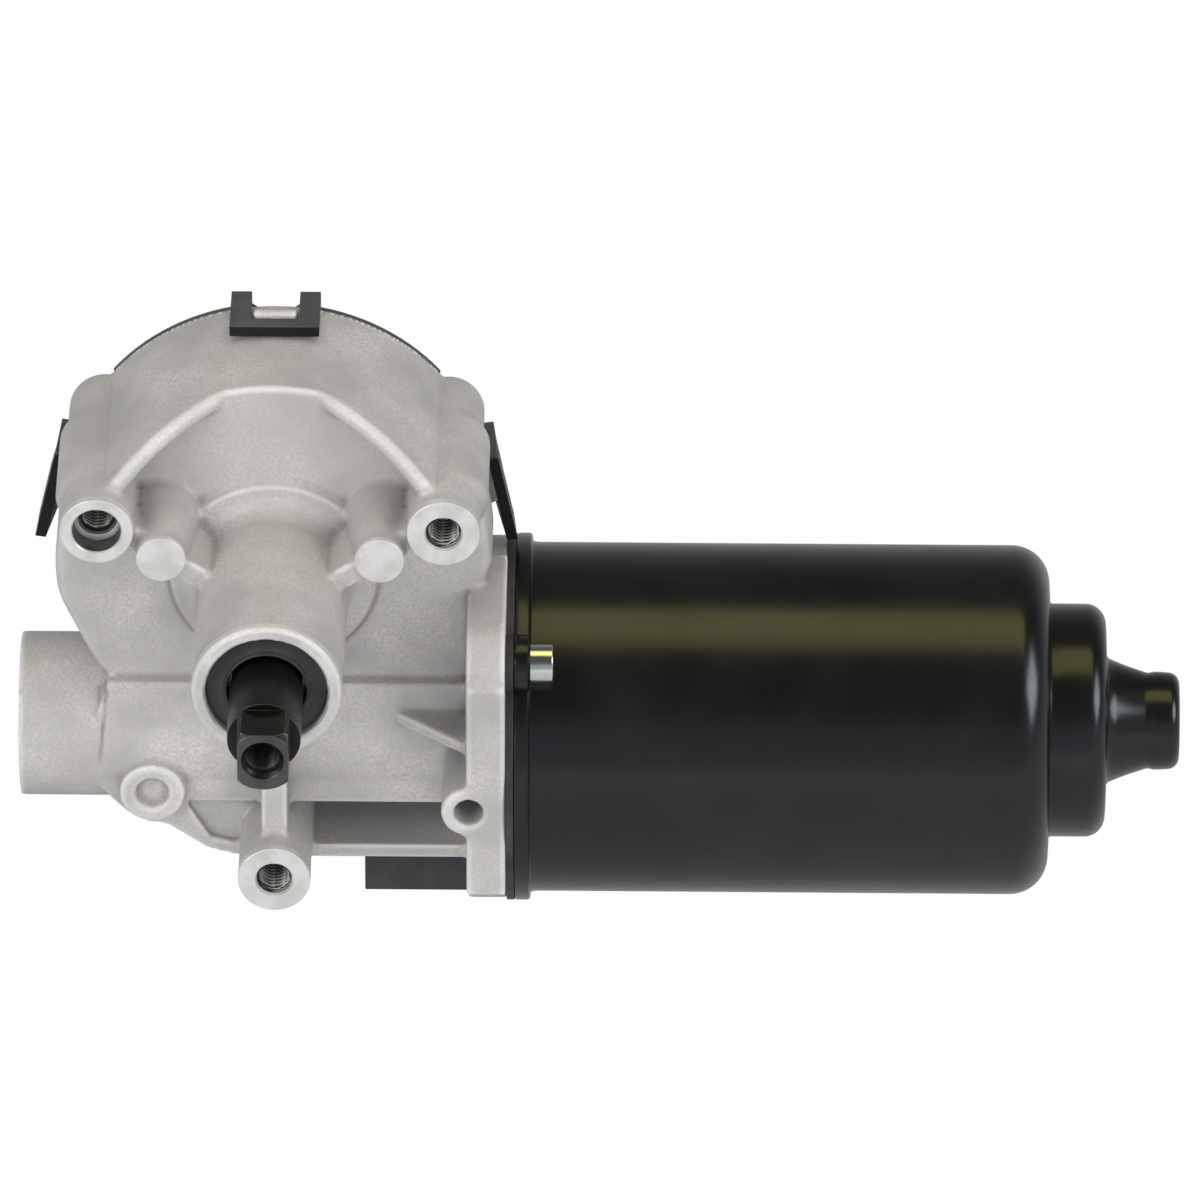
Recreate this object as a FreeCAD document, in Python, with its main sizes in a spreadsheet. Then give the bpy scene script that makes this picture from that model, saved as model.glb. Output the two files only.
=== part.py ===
import FreeCAD, Part
import math
import os
import re

import Sketcher
from FreeCAD import Placement, Rotation, Vector

# A vehicle's windscreen wiper motor: a permanent-magnet motor in a drawn can, driving a worm
# and worm wheel in a die-cast gear housing, with the output shaft out of the front.
#
# Frame, in millimetres: the origin is on the output shaft's axis in the plane of the shaft
# boss's mouth. +Y goes back into the housing, +X towards the motor can and +Z is up.
# A "setback" is a distance behind the mouth plane, a "station" a distance along X.

SIZES = {
    # gear housing: the drum round the worm wheel, with its flat front face
    "rim_behind": 16.6,
    "face_ahead": 11.4,
    "drum_radius": 36.9,
    "face_wall": 3.0,
    "face_round": 2.0,
    "wheel_room": 1.35,
    # the shaft boss and the raised ring it stands on
    "boss_radius": 13.0,
    "boss_draft": 0.3,
    "boss_flare": 3.2,
    "base_ring_radius": 18.8,
    "base_ring_height": 1.8,
    "seal_pocket_radius": 10.6,
    "seal_pocket_depth": 9.0,
    # the three threaded mounting bosses
    "mount_setback": 25.0,
    "mount_radius": 6.35,
    "pillar_behind": 2.0,
    "mount_across": 30.0,
    "mount_rise": 17.0,
    "foot_drop": 54.0,
    "mount_thread_radius": 3.0,
    "left_thread_depth": 15.0,
    "right_thread_depth": 13.5,
    "foot_thread_depth": 12.5,
    "pilot_radius": 4.25,
    "pilot_depth": 5.0,
    # the skirt that runs from the drum's crown out to the two upper bosses
    "skirt_wall": 3.2,
    "skirt_crown": 8.0,
    "skirt_reach": 26.0,
    "skirt_stop": 4.0,
    "skirt_round": 1.3,
    # the two pads beside the shaft boss and their webs
    "pad_radius": 4.3,
    "pad_across": 18.9,
    "pad_rise": 11.9,
    "pad_setback": 24.2,
    "pad_web": 4.0,
    "pad_web_step": 0.5,
    "pad_tie_step": 3.4,
    "pad_shoulder": 6.6,
    # the worm tunnel
    "tunnel_radius": 14.4,
    "tunnel_end": 45.0,
    "tunnel_shoulder": 31.0,
    "tunnel_ahead": 13.4,
    "tunnel_top": 22.0,
    "tunnel_ridge": 46.6,
    "tunnel_bore": 7.6,
    "floor_wall": 2.5,
    "floor_below_foot": 4.0,
    "floor_web_behind": 3.0,
    # the small ring boss at the lower left
    "ring_boss_across": 21.6,
    "ring_boss_drop": 43.2,
    "ring_boss_radius": 5.75,
    "ring_boss_bore": 2.9,
    "ring_boss_depth": 2.0,
    "ring_boss_height": 3.0,
    # ribs in front of the tunnel
    "foot_rib_width": 4.6,
    "foot_rib_setback": 30.0,
    "gusset_start": 19.8,
    "gusset_drop": 27.4,
    "gusset_wall": 2.2,
    "gusset_step": 6.5,
    # the flange that carries the motor can
    "flange_start": 33.8,
    "flange_face": 40.6,
    "flange_radius": 31.9,
    "flange_ahead": 31.9,
    "flange_foot": 54.0,
    "flange_ear_radius": 4.8,
    "flange_hole_radius": 2.55,
    "flange_hole_drop": 37.0,
    "flange_hole_inset": 0.4,
    "flange_hole_depth": 12.0,
    "flange_bore": 24.0,
    "flange_bore_depth": 4.0,
    # the two can screws, on a diagonal of the flange
    "screw_across": 23.2,
    "screw_rise": 25.2,
    "flange_corner_radius": 8.0,
    "screw_ear_radius": 5.8,
    "screw_head_radius": 3.5,
    "screw_head_height": 4.2,
    "screw_radius": 2.0,
    "screw_slack": 0.2,
    "screw_grip": 5.6,
    "screw_socket": 3.0,
    "screw_socket_depth": 2.4,
    # the motor can
    "gasket_thickness": 1.4,
    "lip_thickness": 2.7,
    "lip_radius": 32.3,
    "can_radius": 30.7,
    "can_wall": 1.8,
    "can_end": 135.6,
    "can_corner": 6.0,
    "step_radius": 20.5,
    "step_end": 145.6,
    "step_corner": 3.4,
    "nose_base_radius": 10.9,
    "nose_radius": 8.4,
    "nose_end": 158.6,
    "nose_wall": 1.6,
    # the motor's inside
    "magnet_length": 54.0,
    "magnet_thickness": 5.8,
    "magnet_arc": 68.0,
    "air_gap": 0.8,
    "core_length": 46.0,
    "core_slots": 12,
    "slot_width": 2.6,
    "slot_depth": 7.4,
    "winding_overhang": 6.5,
    "winding_gap": 1.9,
    "winding_inner_radius": 8.0,
    "commutator_start": 48.6,
    "commutator_length": 13.0,
    "commutator_radius": 10.5,
    "bar_gap": 0.7,
    "bar_gap_depth": 1.1,
    "card_recess": 0.6,
    "card_thickness": 2.4,
    "card_hole": 12.5,
    "brush_offset": 1.6,
    "brush_width": 6.0,
    "brush_depth": 4.6,
    "brush_length": 8.0,
    "brush_gap": 0.25,
    "holder_wall": 0.9,
    "holder_slack": 0.1,
    "spring_thickness": 0.5,
    # the armature shaft with its worm
    "worm_setback": 52.0,
    "centre_distance": 36.7,
    "gear_module": 1.0,
    "worm_length": 28.0,
    "worm_flank": 0.36,
    "tooth_slack": 0.2,
    "tooth_head": 0.95,
    "tooth_foot": 1.25,
    "armature_radius": 4.0,
    "end_journal_radius": 3.4,
    "armature_start": 40.2,
    "armature_end": 149.0,
    "shaft_dome": 1.0,
    # bearings
    "end_bush_length": 9.0,
    "end_bush_radius": 6.4,
    "end_bush_start": 39.0,
    "plug_length": 3.2,
    "plug_radius": 7.4,
    "plug_recess": 0.6,
    "ball_bearing_start": 22.0,
    "ball_bearing_length": 7.0,
    "ball_bearing_radius": 11.0,
    "ball_count": 8,
    "ring_thickness": 1.9,
    "retainer_thickness": 0.9,
    "can_bush_length": 7.0,
    "can_bush_radius": 6.6,
    "bush_clearance": 0.03,
    # the output shaft, the wheel on it and what holds them
    "shaft_radius": 6.35,
    "shaft_shoulder": 15.0,
    "shaft_tip": 22.0,
    "shaft_flat": 4.35,
    "shaft_top_flat": 5.1,
    "shaft_chamfer": 0.9,
    "shaft_thread_radius": 3.0,
    "shaft_thread_depth": 12.0,
    "shaft_thread_mouth": 3.75,
    "shaft_lead": 0.5,
    "seal_seat_radius": 6.1,
    "journal_radius": 6.0,
    "bush_radius": 8.0,
    "bush_length": 13.0,
    "seal_start": 1.6,
    "seal_length": 4.2,
    "seal_lip_radius": 6.85,
    "seal_lip_wall": 0.9,
    "circlip_start": 6.5,
    "circlip_thickness": 1.0,
    "circlip_radius": 8.3,
    "circlip_depth": 0.5,
    "circlip_slack": 0.05,
    "washer_thickness": 1.0,
    "washer_radius": 9.2,
    "end_play": 0.3,
    "tooth_count": 64,
    "wheel_width": 10.0,
    "wheel_rim": 3.4,
    "wheel_web": 5.0,
    "hub_radius": 10.6,
    "insert_radius": 8.4,
    "contact_inner": 13.0,
    "contact_outer": 26.0,
    "contact_thickness": 0.8,
    # the rear cover, its snap clips and the lugs they hook
    "cover_lap": 0.15,
    "cover_plate": 1.0,
    "cover_gap": 0.3,
    "cover_dome_radius": 31.0,
    "cover_dome_height": 6.0,
    "cover_dome_wall": 2.0,
    "cover_left": 29.0,
    "cover_right": 33.6,
    "cover_rib_width": 1.8,
    "cover_rib_height": 3.0,
    "clip_width": 15.6,
    "clip_window": 8.4,
    "clip_reach": 11.4,
    "clip_bridge": 3.1,
    "clip_thickness": 1.9,
    "clip_stand": 0.5,
    "clip_angle": 8.0,
    "lug_width": 7.8,
    "lug_length": 6.6,
    "lug_height": 2.3,
    "lug_slope": 1.6,
    "lug_notch": 0.9,
    "finger_width": 3.0,
    "finger_thickness": 0.6,
    "finger_first": 14.6,
    "finger_length": 10.0,
    # the connector socket under the cover
    "socket_left": 15.0,
    "socket_right_gap": 0.3,
    "socket_behind": 2.4,
    "socket_depth": 14.0,
    "socket_height": 18.4,
    "socket_wall": 1.6,
    "socket_floor": 3.0,
    "pin_count": 5,
    "pin_pitch": 3.0,
    "pin_width": 0.8,
    "pin_length": 9.0,
}

# Places that follow from the sizes: the housing's depths are taken from the worm's axis, and the
# armature's pieces stand in a row behind its commutator.
PLACES = {
    "rim_setback": "(worm_setback + rim_behind)",
    "face_setback": "(worm_setback - face_ahead)",
    "tunnel_front": "(worm_setback - tunnel_ahead)",
    "flange_front": "(worm_setback - flange_ahead)",
    "gusset_setback": "(worm_setback - flange_ahead + gusset_step)",
    "ring_boss_setback": "(worm_setback - tunnel_ahead - ring_boss_height)",
    "floor_web_setback": "(worm_setback + floor_web_behind)",
    "floor_drop": "(foot_drop + floor_below_foot)",
    "socket_back": "(worm_setback + rim_behind + socket_behind)",
    "socket_front": "(worm_setback + rim_behind + socket_behind - socket_depth)",
    "socket_bottom": "(foot_drop + floor_below_foot + socket_height)",
    "core_start": "(commutator_start + commutator_length + winding_gap + winding_overhang)",
    "core_end": "(commutator_start + commutator_length + winding_gap + winding_overhang + core_length)",
    "core_radius": "(can_radius - can_wall - magnet_thickness - air_gap)",
    "magnet_start": "(commutator_start + commutator_length + winding_gap + winding_overhang"
    " + (core_length - magnet_length) / 2)",
    "wheel_pitch_radius": "(tooth_count * gear_module / 2)",
    "wheel_start": "(worm_setback - wheel_width / 2)",
    "wheel_end": "(worm_setback + wheel_width / 2)",
    "hub_start": "(worm_setback - face_ahead + face_wall + end_play + washer_thickness)",
    "worm_root_radius": "(centre_distance - tooth_count * gear_module / 2 - tooth_foot)",
    "cavity_radius": "(tooth_count * gear_module / 2 + tooth_head + wheel_room)",
    "can_mouth": "(flange_face + gasket_thickness)",
    "screw_seat": "(flange_face + gasket_thickness + lip_thickness)",
    "bearing_end": "(ball_bearing_start + ball_bearing_length)",
    "can_bush_start": "(step_end - can_wall - can_bush_length)",
    "cover_outer": "(worm_setback + rim_behind + cover_plate)",
    "clip_inner": "(drum_radius + clip_stand)",
    "socket_right": "(flange_start - socket_right_gap)",
    "plug_start": "(-tunnel_end + plug_recess)",
    "card_start": "(flange_face + gasket_thickness + card_recess)",
    "box_start": "(flange_face + gasket_thickness + card_recess + card_thickness)",
    "brush_start": "(commutator_start + brush_offset)",
    "brush_low": "(commutator_radius + brush_gap)",
    "brush_high": "(commutator_radius + brush_gap + brush_length)",
    "magnet_inner_radius": "(can_radius - can_wall - magnet_thickness)",
    "can_inner_radius": "(can_radius - can_wall)",
    "finger_tip": "(worm_setback + wheel_width / 2 + contact_thickness + end_play)",
    "finger_ceiling": "(worm_setback + rim_behind + cover_plate + cover_dome_height - cover_dome_wall)",
}

doc = FreeCAD.newDocument("WiperMotor")
sheet = doc.addObject("Spreadsheet::Sheet", "Sizes")
for row, (name, size) in enumerate(SIZES.items(), 1):
    sheet.set("A%d" % row, name)
    sheet.set("B%d" % row, str(size))
    sheet.setAlias("B%d" % row, name)
doc.recompute()

WORD = re.compile(r"[a-z][a-z_]+")
NODES = []

TO_RIGHT = Rotation(Vector(0, 0, 1), Vector(1, 0, 0))
TO_BACK = Rotation(Vector(1, 0, 0), -90)
UPRIGHT = Rotation()


def linked(text):
    """An expression in the sheet's own names, from one in plain size and place names."""
    text = WORD.sub(lambda word: PLACES.get(word.group(0), word.group(0)), text)
    return WORD.sub(
        lambda word: "Sizes." + word.group(0) if word.group(0) in SIZES else word.group(0), text
    )


def size(text):
    """The value of such an expression now, for the few shapes that are worked out here."""
    return float(sheet.evalExpression(linked(text)))


def bind(thing, **texts):
    for prop, text in texts.items():
        thing.setExpression(prop, linked(text))
    return thing


def place(thing, at, turn=UPRIGHT):
    """Put a thing at three expressions, turned by a fixed rotation."""
    thing.Placement = Placement(Vector(*[size(text) for text in at]), turn)
    for axis, text in zip("xyz", at):
        thing.setExpression("Placement.Base." + axis, linked(text))
    return thing


def box(name, length, width, height, at, turn=UPRIGHT):
    thing = doc.addObject("Part::Box", name)
    bind(thing, Length=length, Width=width, Height=height)
    return place(thing, at, turn)


def spoke(name, length, width, height, low, at, angle):
    """A box that starts at a setback and runs outwards from a point, at an angle up from +X."""
    thing = doc.addObject("Part::Box", name)
    bind(thing, Length=length, Width=width, Height=height)
    turn = Rotation(Vector(0, 1, 0), -angle)
    start = turn.multVec(Vector(0, 0, -size(height) / 2))
    thing.Placement = Placement(start + Vector(size(at[0]), size(low), size(at[1])), turn)
    return thing


def span(name, x, y, z):
    """A box between two expressions along each axis."""
    lengths = ["(%s) - (%s)" % (high, low) for low, high in (x, y, z)]
    return box(name, *lengths, (x[0], y[0], z[0]))


def rod(name, radius, length, at, turn):
    thing = doc.addObject("Part::Cylinder", name)
    bind(thing, Radius=radius, Height=length)
    return place(thing, at, turn)


def taper(name, near, far, length, at, turn):
    thing = doc.addObject("Part::Cone", name)
    bind(thing, Radius1=near, Radius2=far, Height=length)
    return place(thing, at, turn)


def fuse(name, *things):
    thing = doc.addObject("Part::MultiFuse", name)
    thing.Shapes = list(things)
    thing.Refine = True
    return thing


def cut(name, base, *tools):
    thing = doc.addObject("Part::Cut", name)
    thing.Base = base
    thing.Tool = tools[0] if len(tools) == 1 else fuse(name + "_tools", *tools)
    thing.Refine = True
    return thing


def common(name, first, second):
    thing = doc.addObject("Part::Common", name)
    thing.Base = first
    thing.Tool = second
    return thing


def draw(sketch, points):
    """A closed outline whose corners are held at their expressions."""
    corners = [Vector(size(first), size(second), 0) for first, second in points]
    count = len(corners)
    for index in range(count):
        sketch.addGeometry(Part.LineSegment(corners[index], corners[(index + 1) % count]))
    for index in range(count):
        sketch.addConstraint(Sketcher.Constraint("Coincident", index, 2, (index + 1) % count, 1))
    for index, texts in enumerate(points):
        for kind, text in zip(("DistanceX", "DistanceY"), texts):
            held = sketch.addConstraint(Sketcher.Constraint(kind, -1, 1, index, 1, size(text)))
            sketch.setExpression("Constraints[%d]" % held, linked(text))


def sketch_in(body, name, role, points):
    sketch = body.newObject("Sketcher::SketchObject", name)
    plane = [feature for feature in body.Origin.OriginFeatures if feature.Role == role][0]
    sketch.AttachmentSupport = [(plane, "")]
    sketch.MapMode = "FlatFace"
    draw(sketch, points)
    return sketch


def turned(name, points, at, turn=UPRIGHT):
    """A turned piece: its half section in (station, radius) points, spun about its own X axis."""
    body = doc.addObject("PartDesign::Body", name)
    section = sketch_in(body, name + "_section", "XY_Plane", points)
    spin = body.newObject("PartDesign::Revolution", name + "_turning")
    spin.Profile = section
    spin.ReferenceAxis = (section, ["H_Axis"])
    spin.Angle = 360
    section.Visibility = False
    return place(body, at, turn)


def prism(name, points, low, high, plane):
    """A plate drawn from the side: on XY it rises along Z, on XZ it goes back along Y."""
    sketch = doc.addObject("Sketcher::SketchObject", name + "_outline")
    if plane == "XZ":
        draw(sketch, points)
        place(sketch, ("0", low, "0"), Rotation(Vector(1, 0, 0), 90))
        direction = Vector(0, 1, 0)
    elif plane == "XY":
        draw(sketch, points)
        place(sketch, ("0", "0", low))
        direction = Vector(0, 0, 1)
    else:
        draw(sketch, points)
        place(sketch, (low, "0", "0"), Rotation(Vector(1, 1, 1), 120))
        direction = Vector(1, 0, 0)
    thing = doc.addObject("Part::Extrusion", name)
    thing.Base = sketch
    thing.DirMode = "Custom"
    thing.Dir = direction
    thing.Solid = True
    return bind(thing, LengthFwd="(%s) - (%s)" % (high, low))


def rounded(name, base, radius, chosen):
    """Fillet the edges of a base that a test picks out."""
    doc.recompute()
    thing = doc.addObject("Part::Fillet", name)
    thing.Base = base
    picked = [index for index, edge in enumerate(base.Shape.Edges, 1) if chosen(edge)]
    thing.Edges = [(index, size(radius), size(radius)) for index in picked]
    return thing


def solid(name, shape):
    thing = doc.addObject("Part::Feature", name)
    thing.Shape = shape
    return thing


def part(label, thing):
    """Name a finished piece as one of the motor's own."""
    thing.Label = label
    NODES.append(thing)
    return thing


def on_motor(station):
    """A point on the motor's axis, at a distance along it."""
    return (station, "worm_setback", "-centre_distance")


MOTOR_AXIS = on_motor("0")
SHAFT_AXIS = ("0", "0", "0")
ALONG_Y = Rotation(Vector(0, 0, 1), 90)

# GEAR HOUSING
# Die-cast aluminium. The drum, its face and the tall shaft boss come first.
drum_blank = rod(
    "DrumBlank", "drum_radius", "rim_setback - face_setback", ("0", "face_setback", "0"), TO_BACK
)
drum_front = size("face_setback")
drum = rounded("Drum", drum_blank, "face_round", lambda edge: edge.BoundBox.YMax < drum_front + 1)
boss = turned(
    "ShaftBoss",
    [
        ("0", "0"),
        ("0", "boss_radius - 0.15 * boss_flare"),
        ("0.15 * boss_flare", "boss_radius"),
        ("face_setback - base_ring_height - boss_flare", "boss_radius + boss_draft"),
        (
            "face_setback - base_ring_height - 0.35 * boss_flare",
            "boss_radius + boss_draft + 0.25 * boss_flare",
        ),
        ("face_setback - base_ring_height", "boss_radius + boss_draft + 0.8 * boss_flare"),
        ("face_setback - base_ring_height", "base_ring_radius - 0.5 * base_ring_height"),
        ("face_setback", "base_ring_radius"),
        ("face_setback + face_wall", "base_ring_radius"),
        ("face_setback + face_wall", "0"),
    ],
    SHAFT_AXIS,
    ALONG_Y,
)

# The two upper mounting bosses stand beside the drum from its rim to their machined faces,
# and the skirt follows the drum's outside from its crown out to them.
pieces = [drum, boss]
skirt_shell = cut(
    "SkirtShell",
    rod("SkirtOutside", "drum_radius", "rim_setback - mount_setback", ("0", "mount_setback", "0"), TO_BACK),
    rod(
        "SkirtInside",
        "drum_radius - skirt_wall",
        "face_setback - mount_setback",
        ("0", "mount_setback", "0"),
        TO_BACK,
    ),
)
skirt_cover = prism(
    "SkirtOutline",
    [
        ("-skirt_crown", "face_setback"),
        ("-skirt_reach", "mount_setback + skirt_stop"),
        ("-drum_radius - 1", "mount_setback + skirt_stop"),
        ("-drum_radius - 1", "face_setback + 2"),
        ("drum_radius + 1", "face_setback + 2"),
        ("drum_radius + 1", "mount_setback + skirt_stop"),
        ("skirt_reach", "mount_setback + skirt_stop"),
        ("skirt_crown", "face_setback"),
    ],
    "mount_rise - 0.4 * mount_radius",
    "drum_radius + 1",
    "XY",
)
skirt = common("SkirtSharp", skirt_shell, skirt_cover)
skirt_back = size("face_setback")
pieces.append(
    rounded(
        "Skirt",
        skirt,
        "skirt_round",
        lambda edge: edge.BoundBox.YMin < skirt_back - 1
        and edge.BoundBox.YMax < skirt_back + 0.1
        and edge.BoundBox.XLength > 2 * size("skirt_wall"),
    )
)

for side, sign in (("Left", "-"), ("Right", "")):
    across = sign + "mount_across"
    pillar = rod(
        side + "Pillar",
        "mount_radius",
        "rim_setback + pillar_behind - mount_setback",
        (across, "mount_setback", "mount_rise"),
        TO_BACK,
    )
    back_end = size("rim_setback + pillar_behind")
    pillar = rounded(
        side + "PillarRounded",
        pillar,
        "0.6 * mount_radius",
        lambda edge: edge.BoundBox.YMin > back_end - 1,
    )
    pieces.append(pillar)
    # a flat pad, webbed outwards to the boss and inwards to the shaft boss
    pad_place = (sign + "pad_across", "pad_setback", "pad_rise")
    pieces.append(rod(side + "Pad", "pad_radius", "face_setback - pad_setback + 1", pad_place, TO_BACK))
    pieces.append(
        taper(
            side + "PadRoot",
            "pad_radius",
            "pad_shoulder",
            "face_setback - pad_setback - 1.6",
            (sign + "pad_across", "pad_setback + 2.6", "pad_rise"),
            TO_BACK,
        )
    )
    lean = math.degrees(math.atan2(size("pad_rise"), size(sign + "pad_across")))
    pieces.append(
        spoke(side + "PadWeb", "sqrt(pad_across ^ 2 + pad_rise ^ 2)", "face_setback - pad_setback",
              "pad_web", "pad_setback + pad_web_step", ("0", "0"), lean)
    )
    outward = math.degrees(
        math.atan2(size("mount_rise - pad_rise"), size(sign + "(mount_across - pad_across)"))
    )
    pieces.append(
        spoke(side + "PadTie", "mount_across - pad_across", "face_setback - pad_setback - pad_tie_step + 1",
              "pad_web", "pad_setback + pad_tie_step", (sign + "pad_across", "pad_rise"), outward)
    )

# Under the drum lies the worm tunnel, round at its free end and boxed in behind its flat front.
pieces.append(
    rod("Tunnel", "tunnel_radius", "tunnel_end + flange_start", on_motor("-tunnel_end"), TO_RIGHT)
)
pieces.append(
    prism(
        "TunnelFront",
        [
            ("-tunnel_shoulder", "-tunnel_top - 6"),
            ("-tunnel_shoulder + 2", "-tunnel_top"),
            ("flange_start", "-tunnel_top"),
            ("flange_start", "-tunnel_ridge"),
            ("-ring_boss_across - 5", "-tunnel_ridge"),
            ("-tunnel_shoulder", "-tunnel_ridge + 5"),
        ],
        "tunnel_front",
        "rim_setback",
        "XZ",
    )
)
# The face runs level from the drum across to the flange.
pieces.append(
    span(
        "FaceToFlange",
        ("0", "flange_start"),
        ("face_setback", "rim_setback"),
        ("-centre_distance", "-0.15 * tunnel_top"),
    )
)
# A thin floor wall closes the lower edge, slanting up to the ring boss on the left.
FLOOR_POINTS = [
    ("-tunnel_shoulder", "-centre_distance - 0.5 * tunnel_radius"),
    ("-ring_boss_across - 4.6", "-floor_drop + 9"),
    ("-ring_boss_across - 1", "-floor_drop + 7"),
    ("-ring_boss_across + 2.6", "-floor_drop + 6.4"),
    ("-ring_boss_across + 9.4", "-floor_drop + 1.6"),
    ("-mount_radius", "-floor_drop"),
    ("flange_start", "-floor_drop"),
]
floor_plate = prism(
    "FloorPlate",
    FLOOR_POINTS + [("flange_start", "-tunnel_ridge + 2"), ("-tunnel_shoulder", "-tunnel_ridge + 6")],
    "tunnel_front + 0.3",
    "rim_setback",
    "XZ",
)
floor_pocket = prism(
    "FloorPocket",
    [
        ("-ring_boss_across + 5.6", "-tunnel_ridge"),
        ("-ring_boss_across + 10", "-floor_drop + floor_wall + 1.4"),
        ("-mount_radius", "-floor_drop + floor_wall"),
        ("flange_start", "-floor_drop + floor_wall"),
        ("flange_start", "-tunnel_ridge"),
    ],
    "tunnel_front",
    "floor_web_setback",
    "XZ",
)
pieces.append(cut("Floor", floor_plate, floor_pocket))
pieces.append(
    rod(
        "Foot",
        "mount_radius",
        "rim_setback - mount_setback - 8",
        ("0", "mount_setback", "-foot_drop"),
        TO_BACK,
    )
)
pieces.append(
    span(
        "FootRib",
        ("-foot_rib_width / 2", "foot_rib_width / 2"),
        ("foot_rib_setback", "face_setback + 1"),
        ("-foot_drop + 3", "-boss_radius + 2"),
    )
)
pieces.append(
    rod(
        "RingBoss",
        "ring_boss_radius",
        "rim_setback - ring_boss_setback - 10",
        ("-ring_boss_across", "ring_boss_setback", "-ring_boss_drop"),
        TO_BACK,
    )
)
pieces.append(
    prism(
        "Gusset",
        [
            ("gusset_start", "tunnel_front + 0.5"),
            ("flange_start + 0.5", "tunnel_front + 0.5"),
            ("flange_start + 0.5", "gusset_setback"),
        ],
        "-gusset_drop - gusset_wall",
        "-gusset_drop",
        "XY",
    )
)

# The flange for the can: a disc squared out in front and at its two screw corners.
SCREW_PLACES = [
    ("worm_setback - screw_across", "screw_rise - centre_distance"),
    ("worm_setback + screw_across", "-screw_rise - centre_distance"),
]


def flange_plate(name, start, end, radius, ears):
    """A disc round the motor's axis with an ear at each can screw."""
    length = "(%s) - (%s)" % (end, start)
    whole = [rod(name + "Disc", radius, length, on_motor(start), TO_RIGHT)]
    for number, (back, up) in enumerate(SCREW_PLACES, 1):
        whole.append(rod("%sEar%d" % (name, number), ears, length, (start, back, up), TO_RIGHT))
    return whole


pieces += flange_plate("Flange", "flange_start", "flange_face", "flange_radius", "flange_corner_radius")
pieces.append(
    span(
        "FlangeBlock",
        ("flange_start", "flange_face"),
        ("flange_front", "worm_setback"),
        ("-flange_foot", "screw_rise - centre_distance"),
    )
)
pieces.append(
    span(
        "FlangeTop",
        ("flange_start", "flange_face"),
        ("worm_setback - screw_across", "worm_setback"),
        ("-centre_distance", "screw_rise - centre_distance + flange_corner_radius"),
    )
)
pieces.append(
    span(
        "FlangeHeel",
        ("flange_start", "flange_face"),
        ("worm_setback", "worm_setback + screw_across"),
        ("-screw_rise - centre_distance - flange_corner_radius", "-centre_distance"),
    )
)
pieces.append(
    rod(
        "FlangeEar",
        "flange_ear_radius",
        "tunnel_front - flange_front + 1",
        ("flange_start + flange_hole_inset", "flange_front", "-flange_hole_drop"),
        TO_BACK,
    )
)

# Three wedge lugs on the rim take the cover's clips.
CLIP_ANGLES = [("Top", "90"), ("Right", "clip_angle"), ("Left", "180 - clip_angle")]
for side, angle in CLIP_ANGLES:
    lug = prism(
        side + "Lug",
        [
            ("drum_radius - 1", "rim_setback - lug_length - lug_slope"),
            ("drum_radius + lug_height", "rim_setback - lug_length"),
            ("drum_radius + lug_height", "rim_setback - lug_length + lug_slope"),
            ("drum_radius - 1", "rim_setback - 0.6"),
        ],
        "-lug_width / 2",
        "lug_width / 2",
        "XY",
    )
    doc.recompute()
    swung = doc.addObject("Part::Feature", side + "LugTurned")
    swung.Shape = lug.Shape
    swung.Placement = Placement(Vector(), Rotation(Vector(0, 1, 0), -size(angle)))
    pieces.append(swung)

# What is cut away: the gear cavity, the tunnel's bores, the shaft bore, threads and pilots.
hollows = [
    rod(
        "Cavity",
        "cavity_radius",
        "rim_setback - face_setback",
        ("0", "face_setback + face_wall", "0"),
        TO_BACK,
    ),
    rod("ShaftBore", "bush_radius", "face_setback + face_wall + 2", ("0", "-1", "0"), TO_BACK),
    rod("SealPocket", "seal_pocket_radius", "seal_pocket_depth + 1", ("0", "-1", "0"), TO_BACK),
    rod("WormBore", "tunnel_bore", "end_bush_start - end_bush_length + flange_face",
        on_motor("-end_bush_start + end_bush_length"), TO_RIGHT),
    rod("EndBushSeat", "end_bush_radius", "tunnel_end", on_motor("-end_bush_start"), TO_RIGHT),
    rod("PlugSeat", "plug_radius", "tunnel_end - end_bush_start + 1",
        on_motor("-tunnel_end - 1"), TO_RIGHT),
    rod("BearingSeat", "ball_bearing_radius", "flange_face - ball_bearing_start",
        on_motor("ball_bearing_start"), TO_RIGHT),
    rod("FlangeMouth", "flange_bore", "flange_bore_depth + 1",
        on_motor("flange_face - flange_bore_depth"), TO_RIGHT),
    rod("FlangeHole", "flange_hole_radius", "flange_hole_depth + 1",
        ("flange_start + flange_hole_inset", "flange_front - 1", "-flange_hole_drop"), TO_BACK),
    rod("RingBossHole", "ring_boss_bore", "ring_boss_depth",
        ("-ring_boss_across", "ring_boss_setback", "-ring_boss_drop"), TO_BACK),
    rod("LeftThread", "mount_thread_radius", "left_thread_depth",
        ("-mount_across", "mount_setback", "mount_rise"), TO_BACK),
    rod(
        "LeftPilot",
        "pilot_radius",
        "pilot_depth",
        ("-mount_across", "mount_setback", "mount_rise"),
        TO_BACK,
    ),
    rod("RightThread", "mount_thread_radius", "right_thread_depth",
        ("mount_across", "mount_setback", "mount_rise"), TO_BACK),
    rod(
        "FootThread",
        "mount_thread_radius",
        "foot_thread_depth",
        ("0", "mount_setback", "-foot_drop"),
        TO_BACK,
    ),
]
for number, (back, up) in enumerate(SCREW_PLACES, 1):
    hollows.append(
        rod(
            "ScrewHole%d" % number,
            "screw_radius",
            "screw_grip",
            ("flange_face - screw_grip", back, up),
            TO_RIGHT,
        )
    )
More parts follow.
